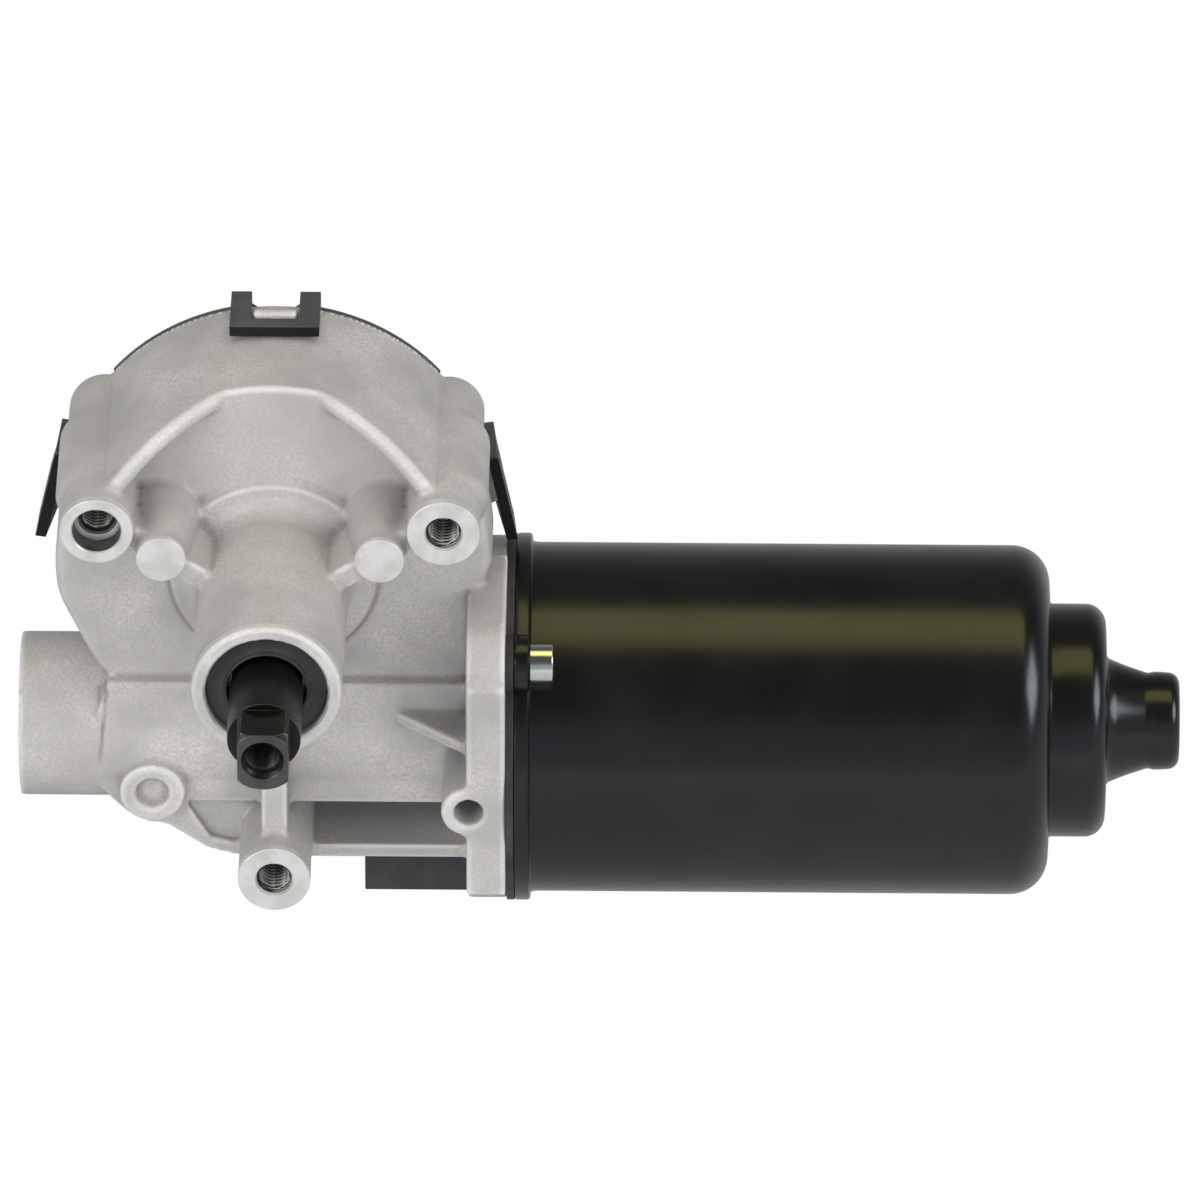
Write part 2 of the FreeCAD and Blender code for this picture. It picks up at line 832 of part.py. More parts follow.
# the rim is notched behind each lug, so that the clip's window can pass
for side, angle in CLIP_ANGLES:
    notch = span(
        side + "Notch",
        ("drum_radius - lug_notch", "drum_radius + 2 * lug_height"),
        ("rim_setback - lug_length + 2 * lug_slope", "rim_setback + 1"),
        ("-clip_window / 2", "clip_window / 2"),
    )
    doc.recompute()
    swung = doc.addObject("Part::Feature", side + "NotchTurned")
    swung.Shape = notch.Shape
    swung.Placement = Placement(Vector(), Rotation(Vector(0, 1, 0), -size(angle)))
    hollows.append(swung)
casting = fuse("Casting", *pieces)
part("gear_housing", cut("GearHousing", casting, *hollows))

# BEARINGS OF THE OUTPUT SHAFT
for label, start in (
    ("front_shaft_bush", "seal_pocket_depth"),
    ("rear_shaft_bush", "face_setback + face_wall - bush_length"),
):
    bush = turned(
        label + "_body",
        [
            (start, "journal_radius + bush_clearance"),
            (start, "bush_radius"),
            (start + " + bush_length", "bush_radius"),
            (start + " + bush_length", "journal_radius + bush_clearance"),
        ],
        SHAFT_AXIS,
        ALONG_Y,
    )
    part(label, bush)

seal = turned(
    "ShaftSealBody",
    [
        ("seal_start", "seal_lip_radius + seal_lip_wall"),
        ("seal_start", "seal_pocket_radius"),
        ("seal_start + seal_length", "seal_pocket_radius"),
        ("seal_start + seal_length", "seal_lip_radius + 2 * seal_lip_wall"),
        ("seal_start + 1.4", "seal_lip_radius + 2 * seal_lip_wall"),
        ("seal_start + 1.4", "seal_lip_radius + seal_lip_wall"),
        ("seal_start + 0.6 * seal_length", "seal_lip_radius"),
        ("seal_start - 0.8", "seal_lip_radius"),
        ("seal_start - 0.8", "seal_lip_radius + seal_lip_wall"),
    ],
    SHAFT_AXIS,
    ALONG_Y,
)
part("shaft_seal", seal)

# OUTPUT SHAFT
# Steel, with a journal for the bushes and a flatted, threaded end for the crank arm.
shaft_blank = turned(
    "OutputShaftBlank",
    [
        ("-shaft_tip", "0"),
        ("-shaft_tip", "shaft_radius - shaft_chamfer"),
        ("-shaft_tip + shaft_chamfer", "shaft_radius"),
        ("shaft_lead", "shaft_radius"),
        ("shaft_lead + 0.3", "seal_seat_radius"),
        ("circlip_start", "seal_seat_radius"),
        ("circlip_start", "journal_radius - circlip_depth"),
        ("circlip_start + circlip_thickness + circlip_slack", "journal_radius - circlip_depth"),
        ("circlip_start + circlip_thickness + circlip_slack", "journal_radius"),
        ("wheel_end + 4", "journal_radius"),
        ("wheel_end + 5", "journal_radius - 1"),
        ("wheel_end + 5", "0"),
    ],
    SHAFT_AXIS,
    ALONG_Y,
)
flat_tools = [
    span("FlatLeft", ("-2 * shaft_radius", "-shaft_flat"), ("-shaft_tip - 1", "-shaft_shoulder"),
         ("-2 * shaft_radius", "2 * shaft_radius")),
    span("FlatRight", ("shaft_flat", "2 * shaft_radius"), ("-shaft_tip - 1", "-shaft_shoulder"),
         ("-2 * shaft_radius", "2 * shaft_radius")),
    span("FlatTop", ("-2 * shaft_radius", "2 * shaft_radius"), ("-shaft_tip - 1", "-shaft_shoulder + 1.2"),
         ("shaft_top_flat", "2 * shaft_radius")),
    rod("ShaftThread", "shaft_thread_radius", "shaft_thread_depth", ("0", "-shaft_tip", "0"), TO_BACK),
    taper("ShaftThreadMouth", "shaft_thread_mouth", "shaft_thread_radius",
          "shaft_thread_mouth - shaft_thread_radius", ("0", "-shaft_tip", "0"), TO_BACK),
]
part("output_shaft", cut("OutputShaft", shaft_blank, *flat_tools))

circlip = cut(
    "Circlip",
    rod("CirclipDisc", "circlip_radius", "circlip_thickness", ("0", "circlip_start", "0"), TO_BACK),
    rod(
        "CirclipBore",
        "journal_radius - circlip_depth",
        "circlip_thickness + 2",
        ("0", "circlip_start - 1", "0"),
        TO_BACK,
    ),
    span(
        "CirclipGap",
        ("-2.2", "2.2"),
        ("circlip_start - 1", "circlip_start + 3"),
        ("-2 * circlip_radius", "-1"),
    ),
)
part("retaining_ring", circlip)


def washer(label, start, thickness, inner, outer):
    body = turned(
        label + "_body",
        [
            (start, inner),
            (start, outer),
            ("%s + %s" % (start, thickness), outer),
            ("%s + %s" % (start, thickness), inner),
        ],
        SHAFT_AXIS,
        ALONG_Y,
    )
    return part(label, body)


washer(
    "front_washer",
    "circlip_start + circlip_thickness + circlip_slack",
    "washer_thickness",
    "journal_radius + 0.02",
    "washer_radius",
)
washer(
    "wheel_washer",
    "face_setback + face_wall + end_play",
    "washer_thickness",
    "journal_radius",
    "hub_radius",
)

# WORM WHEEL
# Moulded round a steel insert: a toothed rim, a web on its rear side and a hub. The teeth lean
# by the worm's lead angle, so their outline turns a little from the front face to the rear.
module = size("gear_module")
teeth = int(size("tooth_count"))
pitch_radius = teeth * module / 2
worm_pitch_radius = size("centre_distance") - pitch_radius
lead_slope = module / (2 * worm_pitch_radius)


def wheel_outline(setback):
    """The toothed outline at one setback, turned by the lean of the teeth there."""
    centre = size("worm_setback")
    twist = lead_slope * (setback - centre) / pitch_radius
    half = module * math.pi / 4 - size("tooth_slack") / 2
    flank = size("worm_flank")
    head, foot = size("tooth_head"), size("tooth_foot")
    points = []
    for tooth in range(teeth):
        middle = -math.pi / 2 + twist * -1 + tooth * 2 * math.pi / teeth
        for radius, width in (
            (pitch_radius - foot, -(half + foot * flank)),
            (pitch_radius + head, -(half - head * flank)),
            (pitch_radius + head, half - head * flank),
            (pitch_radius - foot, half + foot * flank),
        ):
            angle = middle + width / radius
            points.append(Vector(radius * math.cos(angle), setback, radius * math.sin(angle)))
    return Part.makePolygon(points + points[:1])


toothed = Part.makeLoft([wheel_outline(size("wheel_start")), wheel_outline(size("wheel_end"))], True, True)
rim_room = rod("RimRoom", "wheel_pitch_radius - tooth_foot - wheel_rim", "wheel_width - wheel_web",
               ("0", "wheel_start", "0"), TO_BACK)
wheel_hub = rod("WheelHub", "hub_radius", "wheel_end - hub_start", ("0", "hub_start", "0"), TO_BACK)
insert_room = rod("InsertRoom", "insert_radius", "3 * wheel_width", ("0", "face_setback", "0"), TO_BACK)
wheel_ribs = []
for number in range(6):
    wheel_ribs.append(
        spoke("WheelRib%d" % number, "wheel_pitch_radius - tooth_foot - 1", "wheel_width - 1", "2",
              "wheel_start + 1", ("0", "0"), 60 * number)
    )
wheel = fuse("WheelWhole", cut("WheelRim", solid("Teeth", toothed), rim_room), wheel_hub, *wheel_ribs)
part("worm_wheel", cut("WormWheel", wheel, insert_room))
part(
    "wheel_insert",
    cut(
        "WheelInsert",
        rod("InsertDisc", "insert_radius", "wheel_end - hub_start", ("0", "hub_start", "0"), TO_BACK),
        rod("InsertBore", "journal_radius", "3 * wheel_width", ("0", "face_setback", "0"), TO_BACK),
    ),
)
disc = cut(
    "ContactDisc",
    rod("ContactBlank", "contact_outer", "contact_thickness", ("0", "wheel_end", "0"), TO_BACK),
    rod("ContactHole", "contact_inner", "contact_thickness + 2", ("0", "wheel_end - 1", "0"), TO_BACK),
    span(
        "ContactNotch",
        ("-4", "4"),
        ("wheel_end - 1", "wheel_end + 2"),
        ("contact_outer - 5", "contact_outer + 1"),
    ),
)
part("park_contact_disc", disc)

# ARMATURE SHAFT AND WORM
# One steel shaft from the tunnel's end to the can's nose. The worm thread is a single start,
# right-handed, swept along a helix whose pitch is the wheel's tooth pitch.
root_radius = worm_pitch_radius - size("tooth_foot")
lead = math.pi * module
armature_shaft = turned(
    "ArmatureShaftBlank",
    [
        ("-armature_start", "0"),
        ("-armature_start", "end_journal_radius - shaft_dome"),
        ("-armature_start + shaft_dome", "end_journal_radius"),
        ("-worm_length / 2 - 4", "end_journal_radius"),
        ("-worm_length / 2 - 3.9", "worm_root_radius"),
        ("worm_length / 2 + 3", "worm_root_radius"),
        ("worm_length / 2 + 4", "armature_radius"),
        ("armature_end - shaft_dome", "armature_radius"),
        ("armature_end", "armature_radius - shaft_dome"),
        ("armature_end", "0"),
    ],
    MOTOR_AXIS,
)
doc.recompute()


def worm_thread():
    """The thread's trapezoid section swept along its helix, with its top in step with a wheel gap."""
    half = lead / 4 - size("tooth_slack") / 2
    flank = size("worm_flank")
    sunk = 0.25
    low, high = root_radius - sunk, worm_pitch_radius + size("tooth_head")
    foot_half = half + (worm_pitch_radius - low) * flank
    head_half = half - (high - worm_pitch_radius) * flank
    length = size("worm_length")
    helix = Part.makeHelix(lead, length, worm_pitch_radius)
    section = Part.makePolygon(
        [
            Vector(low, 0, -foot_half),
            Vector(high, 0, -head_half),
            Vector(high, 0, head_half),
            Vector(low, 0, foot_half),
            Vector(low, 0, -foot_half),
        ]
    )
    return Part.Wire(helix).makePipeShell([section], True, True)


# At the middle of the worm the thread lies away from the wheel, so a gap faces the wheel's tooth.
thread = solid("WormThread", worm_thread())
laid = Placement(Vector(-size("worm_length") / 2, 0, 0), TO_RIGHT)
spin = Rotation(Vector(1, 0, 0), -180 * size("worm_length") / lead)
thread.Placement = Placement(Vector(*[size(text) for text in MOTOR_AXIS]), spin) * laid
part("armature_shaft", fuse("ArmatureShaft", armature_shaft, thread))

# ARMATURE CORE
# A stack of slotted steel sheets, with copper in its slots and round its two ends.
core_blank = turned(
    "CoreBlank",
    [
        ("core_start", "armature_radius"),
        ("core_start", "core_radius"),
        ("core_end", "core_radius"),
        ("core_end", "armature_radius"),
    ],
    MOTOR_AXIS,
)


def slot_box(name, angle, start, length, low, high, width):
    """A bar along the motor's axis at one angle round it."""
    cos, sin = math.cos(math.radians(angle)), math.sin(math.radians(angle))
    at = (
        start,
        "worm_setback - (%s) / 2 * %.9f - (%s) * %.9f" % (width, cos, low, sin),
        "-centre_distance - (%s) / 2 * %.9f + (%s) * %.9f" % (width, sin, low, cos),
    )
    return box(name, length, width, "(%s) - (%s)" % (high, low), at, Rotation(Vector(1, 0, 0), angle))


slots = []
bars = []
slot_total = int(size("core_slots"))
for number in range(slot_total):
    angle = 360 * number / slot_total
    slots.append(
        slot_box("Slot%d" % number, angle, "core_start - 1", "core_length + 2",
                 "core_radius - slot_depth", "core_radius + 1", "slot_width")
    )
    bars.append(
        slot_box("Bar%d" % number, angle, "core_start - 1", "core_length + 2",
                 "core_radius - slot_depth", "core_radius - 0.9", "slot_width")
    )
part("armature_core", cut("ArmatureCore", core_blank, *slots))
ends = []
for name, start in (("NearCoil", "core_start - winding_overhang"), ("FarCoil", "core_end")):
    ends.append(
        turned(
            name,
            [
                (start, "winding_inner_radius"),
                (start, "core_radius - 4"),
                (start + " + winding_overhang / 2", "core_radius - 1.4"),
                (start + " + winding_overhang", "core_radius - 1.4"),
                (start + " + winding_overhang", "winding_inner_radius"),
            ],
            MOTOR_AXIS,
        )
    )
part("armature_windings", fuse("ArmatureWindings", *ends, *bars))

# COMMUTATOR
# Copper bars on an insulating sleeve, parted by narrow slots.
commutator_blank = turned(
    "CommutatorBlank",
    [
        ("commutator_start", "armature_radius"),
        ("commutator_start", "commutator_radius"),
        ("commutator_start + commutator_length - 2.4", "commutator_radius"),
        ("commutator_start + commutator_length - 2.4", "commutator_radius + 1.6"),
        ("commutator_start + commutator_length", "commutator_radius + 1.6"),
        ("commutator_start + commutator_length", "armature_radius"),
    ],
    MOTOR_AXIS,
)
gaps = [
    slot_box("BarGap%d" % number, 360 * (number + 0.5) / slot_total, "commutator_start - 1",
             "commutator_length + 2", "commutator_radius - bar_gap_depth", "commutator_radius + 3",
             "bar_gap")
    for number in range(slot_total)
]
part("commutator", cut("Commutator", commutator_blank, *gaps))

# MOTOR CAN
# Deep-drawn steel, with a rolled lip at its mouth, a stepped end and a hollow nose.
can_blank = turned(
    "CanBlank",
    [
        ("can_mouth", "can_inner_radius"),
        ("can_mouth", "lip_radius"),
        ("can_mouth + lip_thickness", "lip_radius"),
        ("can_mouth + lip_thickness", "can_radius"),
        ("can_end", "can_radius"),
        ("can_end", "step_radius"),
        ("step_end", "step_radius"),
        ("step_end", "nose_base_radius"),
        ("step_end + 3", "nose_radius + 0.7"),
        ("nose_end - 6", "nose_radius"),
        ("nose_end", "nose_radius"),
        ("nose_end", "0"),
        ("nose_end - nose_wall", "0"),
        ("nose_end - nose_wall", "nose_radius - nose_wall"),
        ("step_end", "can_bush_radius"),
        ("can_bush_start", "can_bush_radius"),
        ("can_bush_start", "can_bush_radius + can_wall"),
        ("step_end - can_wall", "can_bush_radius + can_wall"),
        ("step_end - can_wall", "step_radius - can_wall"),
        ("can_end - can_wall", "step_radius - can_wall"),
        ("can_end - can_wall", "can_inner_radius"),
    ],
    MOTOR_AXIS,
)


def round_edge(body, name, radius, station, at_radius):
    """Round the circular edge of a turned body at one station and radius."""
    doc.recompute()
    base = body.Tip
    wanted = []
    for index, edge in enumerate(base.Shape.Edges, 1):
        if not isinstance(edge.Curve, Part.Circle):
            continue
        near = abs(edge.Curve.Center.x - size(station)) < 0.05
        if near and abs(edge.Curve.Radius - size(at_radius)) < 0.05:
            wanted.append("Edge%d" % index)
    fillet = body.newObject("PartDesign::Fillet", name)
    fillet.Base = (base, wanted)
    bind(fillet, Radius=radius)
    body.Tip = fillet


round_edge(can_blank, "CanCorner", "can_corner", "can_end", "can_radius")
round_edge(can_blank, "StepCorner", "step_corner", "step_end", "step_radius")
round_edge(can_blank, "NoseCorner", "nose_wall + 0.3", "nose_end", "nose_radius")
ears = [
    rod("CanEar%d" % number, "screw_ear_radius - 1", "lip_thickness", ("can_mouth", back, up), TO_RIGHT)
    for number, (back, up) in enumerate(SCREW_PLACES, 1)
]
ear_holes = [
    rod(
        "CanEarHole%d" % number,
        "screw_radius + screw_slack",
        "lip_thickness + 2",
        ("can_mouth - 1", back, up),
        TO_RIGHT,
    )
    for number, (back, up) in enumerate(SCREW_PLACES, 1)
]
inside = rod("CanInside", "can_inner_radius", "lip_thickness + 4", on_motor("can_mouth - 1"),
             TO_RIGHT)
part("motor_can", cut("MotorCan", fuse("CanWithEars", can_blank, *ears), inside, *ear_holes))

gasket_holes = [
    rod(
        "GasketHole%d" % number,
        "screw_radius + screw_slack",
        "gasket_thickness + 2",
        ("flange_face - 1", back, up),
        TO_RIGHT,
    )
    for number, (back, up) in enumerate(SCREW_PLACES, 1)
]
gasket_bore = rod("GasketBore", "flange_bore", "gasket_thickness + 2", on_motor("flange_face - 1"),
                  TO_RIGHT)
gasket_disc = fuse(
    "GasketWhole",
    *flange_plate("Gasket", "flange_face", "can_mouth", "lip_radius", "screw_ear_radius - 0.6"),
)
part("can_gasket", cut("CanGasket", gasket_disc, gasket_bore, *gasket_holes))

screws = []
for number, (back, up) in enumerate(SCREW_PLACES, 1):
    shank = rod("Shank%d" % number, "screw_radius", "screw_grip + gasket_thickness + lip_thickness",
                ("flange_face - screw_grip", back, up), TO_RIGHT)
    head = rod(
        "Head%d" % number, "screw_head_radius", "screw_head_height", ("screw_seat", back, up), TO_RIGHT
    )
    socket = doc.addObject("Part::Prism", "Socket%d" % number)
    socket.Polygon = 6
    bind(socket, Circumradius="screw_socket / sqrt(3)", Height="screw_socket_depth + 1")
    place(socket, ("screw_seat + screw_head_height - screw_socket_depth", back, up), TO_RIGHT)
    screws.append(cut("Screw%d" % number, fuse("ScrewWhole%d" % number, shank, head), socket))
screw_set = doc.addObject("Part::Compound", "CanScrews")
screw_set.Links = screws
part("can_screws", screw_set)

# FIELD MAGNETS
# Four ferrite arcs cemented to the inside of the can.
magnets = []
for number in range(4):
    arc = turned(
        "Magnet%d" % number,
        [
            ("magnet_start", "magnet_inner_radius"),
            ("magnet_start", "can_inner_radius"),
            ("magnet_start + magnet_length", "can_inner_radius"),
            ("magnet_start + magnet_length", "magnet_inner_radius"),
        ],
        MOTOR_AXIS,
        Rotation(Vector(1, 0, 0), 90 * number),
    )
    spin = arc.Group[-1]
    bind(spin, Angle="magnet_arc")
    magnets.append(arc)
magnet_set = doc.addObject("Part::Compound", "Magnets")
magnet_set.Links = magnets
part("field_magnets", magnet_set)

# BRUSH CARD
# A plastic ring in the can's mouth with two brush boxes, their carbon brushes and leaf springs.
card_ring = cut(
    "CardRing",
    rod("CardDisc", "can_inner_radius", "card_thickness", on_motor("card_start"), TO_RIGHT),
    rod("CardHole", "card_hole", "card_thickness + 2", on_motor("card_start - 1"), TO_RIGHT),
)
boxes = []
box_rooms = []
brushes = []
leaves = []
for name, angle in (("Upper", 0), ("Lower", 180)):
    boxes.append(
        slot_box(name + "Box", angle, "box_start",
                 "brush_start + brush_depth + holder_wall + holder_slack - box_start", "brush_low + 2.4",
                 "can_inner_radius - 2.2", "brush_width + 2 * (holder_wall + holder_slack)")
    )
    box_rooms.append(
        slot_box(name + "Room", angle, "brush_start - holder_slack", "brush_depth + 2 * holder_slack",
                 "brush_low + 1", "can_radius", "brush_width + 2 * holder_slack")
    )
    brushes.append(
        slot_box(
            name + "Brush", angle, "brush_start", "brush_depth", "brush_low", "brush_high", "brush_width"
        ),
    )
    leaves.append(
        slot_box(name + "Leaf", angle, "brush_start", "brush_depth + holder_slack", "brush_high",
                 "brush_high + spring_thickness", "brush_width")
    )
part("brush_card", cut("BrushCard", fuse("CardWhole", card_ring, *boxes), *box_rooms))
for label, group in (("brushes", brushes), ("brush_springs", leaves)):
    group_set = doc.addObject("Part::Compound", label + "_set")
    group_set.Links = group
    part(label, group_set)

# BEARINGS OF THE ARMATURE
part(
    "worm_end_bush",
    turned(
        "WormEndBushBody",
        [
            ("-end_bush_start", "end_journal_radius + bush_clearance"),
            ("-end_bush_start", "end_bush_radius"),
            ("-end_bush_start + end_bush_length", "end_bush_radius"),
            ("-end_bush_start + end_bush_length", "end_journal_radius + bush_clearance"),
        ],
        MOTOR_AXIS,
    ),
)
part(
    "thrust_plug",
    turned(
        "ThrustPlugBody",
        [
            ("plug_start", "0"),
            ("plug_start", "plug_radius"),
            ("plug_start + plug_length", "plug_radius"),
            ("plug_start + plug_length", "1.6"),
            ("-armature_start - end_play", "1.2"),
            ("-armature_start - end_play", "0"),
        ],
        MOTOR_AXIS,
    ),
)
part(
    "can_bush",
    turned(
        "CanBushBody",
        [
            ("can_bush_start", "armature_radius + bush_clearance"),
            ("can_bush_start", "can_bush_radius"),
            ("step_end - can_wall", "can_bush_radius"),
            ("step_end - can_wall", "armature_radius + bush_clearance"),
        ],
        MOTOR_AXIS,
    ),
)
for label, inner, outer in (
    ("bearing_inner_race", "armature_radius", "armature_radius + ring_thickness"),
    ("bearing_outer_race", "ball_bearing_radius - ring_thickness", "ball_bearing_radius"),
):
    part(
        label,
        turned(
            label + "_body",
            [
                ("ball_bearing_start", inner),
                ("ball_bearing_start", outer),
                ("bearing_end", outer),
                ("bearing_end", inner),
            ],
            MOTOR_AXIS,
        ),
    )
balls = []
ball_total = int(size("ball_count"))
ball_ring = "(armature_radius + ball_bearing_radius) / 2"
for number in range(ball_total):
    ball = doc.addObject("Part::Sphere", "Ball%d" % number)
    bind(ball, Radius="(ball_bearing_radius - armature_radius) / 2 - ring_thickness - 0.05")
    turn = Rotation(Vector(1, 0, 0), 360 * number / ball_total)
    offset = turn.multVec(Vector(size("ball_bearing_start + ball_bearing_length / 2"), 0, size(ball_ring)))
    ball.Placement = Placement(Vector(*[size(text) for text in MOTOR_AXIS]) + offset, UPRIGHT)
    balls.append(ball)
ball_set = doc.addObject("Part::Compound", "Balls")
ball_set.Links = balls
part("bearing_balls", ball_set)
part(
    "bearing_retainer",
    turned(
        "BearingRetainerBody",
        [
            ("bearing_end", "ball_bearing_radius - ring_thickness"),
            ("bearing_end", "ball_bearing_radius"),
            ("bearing_end + retainer_thickness", "ball_bearing_radius"),
            ("bearing_end + retainer_thickness", "ball_bearing_radius - ring_thickness"),
        ],
        MOTOR_AXIS,
    ),
)

# REAR COVER
# Moulded plastic: a plate over the drum and the tunnel, a raised middle, and three clips that
# reach forward over the rim, each a U with a window for its lug.
cover_disc = rod("CoverDisc", "drum_radius + cover_lap", "cover_plate", ("0", "rim_setback", "0"), TO_BACK)
cover_lower = prism(
    "CoverLower",
    [
        ("-cover_left", "-0.6 * centre_distance"),
        ("-cover_left", "-tunnel_ridge + 3"),
        ("-ring_boss_across + 2.6", "-floor_drop + 6.4"),
        ("-mount_radius", "-floor_drop"),
        ("cover_right", "-floor_drop"),
        ("cover_right", "-0.15 * tunnel_top"),
        ("0", "-0.15 * tunnel_top"),
    ],
    "rim_setback",
    "cover_outer",
    "XZ",
)
cover_dome = taper("CoverDome", "cover_dome_radius + 1", "cover_dome_radius - 1", "cover_dome_height",
                   ("0", "cover_outer", "0"), TO_BACK)
cover_room = taper("CoverRoom", "cover_dome_radius - cover_dome_wall",
                   "cover_dome_radius - cover_dome_wall - 1",
                   "cover_dome_height + cover_plate - cover_dome_wall", ("0", "rim_setback", "0"), TO_BACK)
cover_pieces = [cover_disc, cover_lower, cover_dome]
for number in range(6):
    cover_pieces.append(
        spoke("CoverRib%d" % number, "drum_radius - 2", "cover_plate + cover_rib_height", "cover_rib_width",
              "rim_setback", ("0", "0"), 60 * number + 30)
    )
for side, angle in CLIP_ANGLES:
    strap = span(
        side + "Strap",
        ("clip_inner", "clip_inner + clip_thickness"),
        ("rim_setback - clip_reach", "cover_outer"),
        ("-clip_width / 2", "clip_width / 2"),
    )
    root = span(
        side + "Root",
        ("drum_radius - 3", "clip_inner + clip_thickness"),
        ("rim_setback", "cover_outer"),
        ("-clip_width / 2", "clip_width / 2"),
    )
    window = span(
        side + "Window",
        ("drum_radius - lug_notch", "clip_inner + clip_thickness + 1"),
        ("rim_setback - clip_reach + clip_bridge", "cover_outer + 1"),
        ("-clip_window / 2", "clip_window / 2"),
    )
    clip = cut(side + "Clip", fuse(side + "ClipWhole", strap, root), window)
    doc.recompute()
    swung = doc.addObject("Part::Feature", side + "ClipTurned")
    swung.Shape = clip.Shape
    swung.Placement = Placement(Vector(), Rotation(Vector(0, 1, 0), -size(angle)))
    cover_pieces.append(swung)
flange_room = span(
    "FlangeRoom",
    ("cover_right", "2 * drum_radius"),
    ("rim_setback - 1", "2 * rim_setback"),
    ("-2 * drum_radius", "-0.15 * tunnel_top"),
)
# the cover's edge is scalloped round the ends of the two upper bosses
scallops = []
for side, sign in (("Left", "-"), ("Right", "")):
    scallops.append(
        cut(
            side + "Scallop",
            rod(side + "ScallopRound", "mount_radius + cover_gap", "2 * cover_dome_height",
                (sign + "mount_across", "rim_setback - 1", "mount_rise"), TO_BACK),
            rod(side + "ScallopEdge", "cavity_radius - cover_gap", "3 * cover_dome_height",
                ("0", "rim_setback - 2", "0"), TO_BACK),
        )
    )
part(
    "rear_cover",
    cut("RearCover", fuse("CoverWhole", *cover_pieces), cover_room, flange_room, *scallops),
)

# Three spring fingers inside the cover rub on the contact disc to park the wiper.
fingers = []
for number in range(3):
    inner_edge = "finger_first + %d * (finger_width + 0.9)" % number
    fingers.append(
        prism(
            "Finger%d" % number,
            [
                ("-finger_length", "finger_ceiling"),
                ("-finger_length", "finger_ceiling - finger_thickness"),
                ("-finger_length / 2", "finger_ceiling - finger_thickness"),
                ("0", "finger_tip"),
                ("1.6", "finger_tip"),
                ("2.6", "finger_tip + 1.4"),
                ("2", "finger_tip + 1.8"),
                ("1.3", "finger_tip + finger_thickness"),
                ("0.3", "finger_tip + finger_thickness"),
                ("-finger_length / 2 + 0.4", "finger_ceiling"),
            ],
            "-(" + inner_edge + ") - finger_width",
            "-(" + inner_edge + ")",
            "XY",
        )
    )
finger_set = doc.addObject("Part::Compound", "Fingers")
finger_set.Links = fingers
part("park_contacts", finger_set)

# CONNECTOR SOCKET
# A shroud under the cover, open downwards, with a row of flat pins.
shroud = span(
    "Shroud",
    ("socket_left", "socket_right"),
    ("socket_front", "socket_back"),
    ("-socket_bottom", "-floor_drop"),
)
shroud_neck = span("ShroudNeck", ("socket_left", "socket_right"), ("cover_outer", "socket_back"),
                   ("-floor_drop", "-floor_drop + 8"))
mouth = span(
    "ShroudMouth",
    ("socket_left + socket_wall", "socket_right - socket_wall"),
    ("socket_front + socket_wall", "socket_back - socket_wall"),
    ("-socket_bottom - 1", "-floor_drop - socket_floor"),
)
part("connector_socket", cut("ConnectorSocket", fuse("ShroudWhole", shroud, shroud_neck), mouth))
pins = []
for number in range(int(size("pin_count"))):
    centre = "(socket_left + socket_right) / 2 + (%d - (pin_count - 1) / 2) * pin_pitch" % number
    pins.append(
        span(
            "Pin%d" % number,
            (centre + " - pin_width", centre + " + pin_width"),
            (
                "(socket_front + socket_back) / 2 - pin_width / 2",
                "(socket_front + socket_back) / 2 + pin_width / 2",
            ),
            ("-floor_drop - socket_floor - pin_length", "-floor_drop - socket_floor"),
        )
    )
pin_set = doc.addObject("Part::Compound", "Pins")
pin_set.Links = pins
part("connector_pins", pin_set)

doc.recompute()
for thing in doc.Objects:
    if "Invalid" in thing.State or "Error" in thing.State:
        raise RuntimeError("%s could not be built: %s" % (thing.Label, thing.State))
os.makedirs("parts", exist_ok=True)
for thing in NODES:
    if thing.Shape.isNull() or not thing.Shape.isValid() or not thing.Shape.Solids:
        raise RuntimeError("%s is not a sound solid" % thing.Label)
    thing.Shape.exportStep("parts/%s.step" % thing.Label)
    print("%-20s solids %d volume %.0f" % (thing.Label, len(thing.Shape.Solids), thing.Shape.Volume))
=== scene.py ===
import math

import bmesh
import bpy
from mathutils import Matrix, Vector


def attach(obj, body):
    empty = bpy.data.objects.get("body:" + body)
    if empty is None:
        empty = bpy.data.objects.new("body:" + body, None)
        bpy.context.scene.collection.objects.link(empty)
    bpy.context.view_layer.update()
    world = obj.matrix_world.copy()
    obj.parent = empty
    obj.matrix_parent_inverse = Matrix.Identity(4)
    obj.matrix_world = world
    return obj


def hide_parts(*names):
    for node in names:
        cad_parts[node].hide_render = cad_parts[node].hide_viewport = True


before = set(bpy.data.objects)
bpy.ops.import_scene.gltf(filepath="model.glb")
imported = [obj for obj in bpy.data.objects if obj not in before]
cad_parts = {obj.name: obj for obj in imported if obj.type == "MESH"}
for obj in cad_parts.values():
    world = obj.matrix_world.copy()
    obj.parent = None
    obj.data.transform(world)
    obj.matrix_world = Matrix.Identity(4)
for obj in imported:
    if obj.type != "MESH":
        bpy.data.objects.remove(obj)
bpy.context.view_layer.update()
MM = 0.001

# THE VIEW
# A long lens looks down at the motor from in front, with the output shaft towards the viewer
# and the can to the right, as a parts catalogue shows it.
LOOK_DOWN = math.radians(31.526)
LOOK_ASIDE = math.radians(0.702)
CAMERA_ROLL = math.radians(0.045)
CAMERA_DISTANCE = 2.71
FRAME_WIDTH = 1200 / 5762
SENSOR_WIDTH = 36.0
LOOK_AT = Vector((0.057, 0.030, 0.000875))

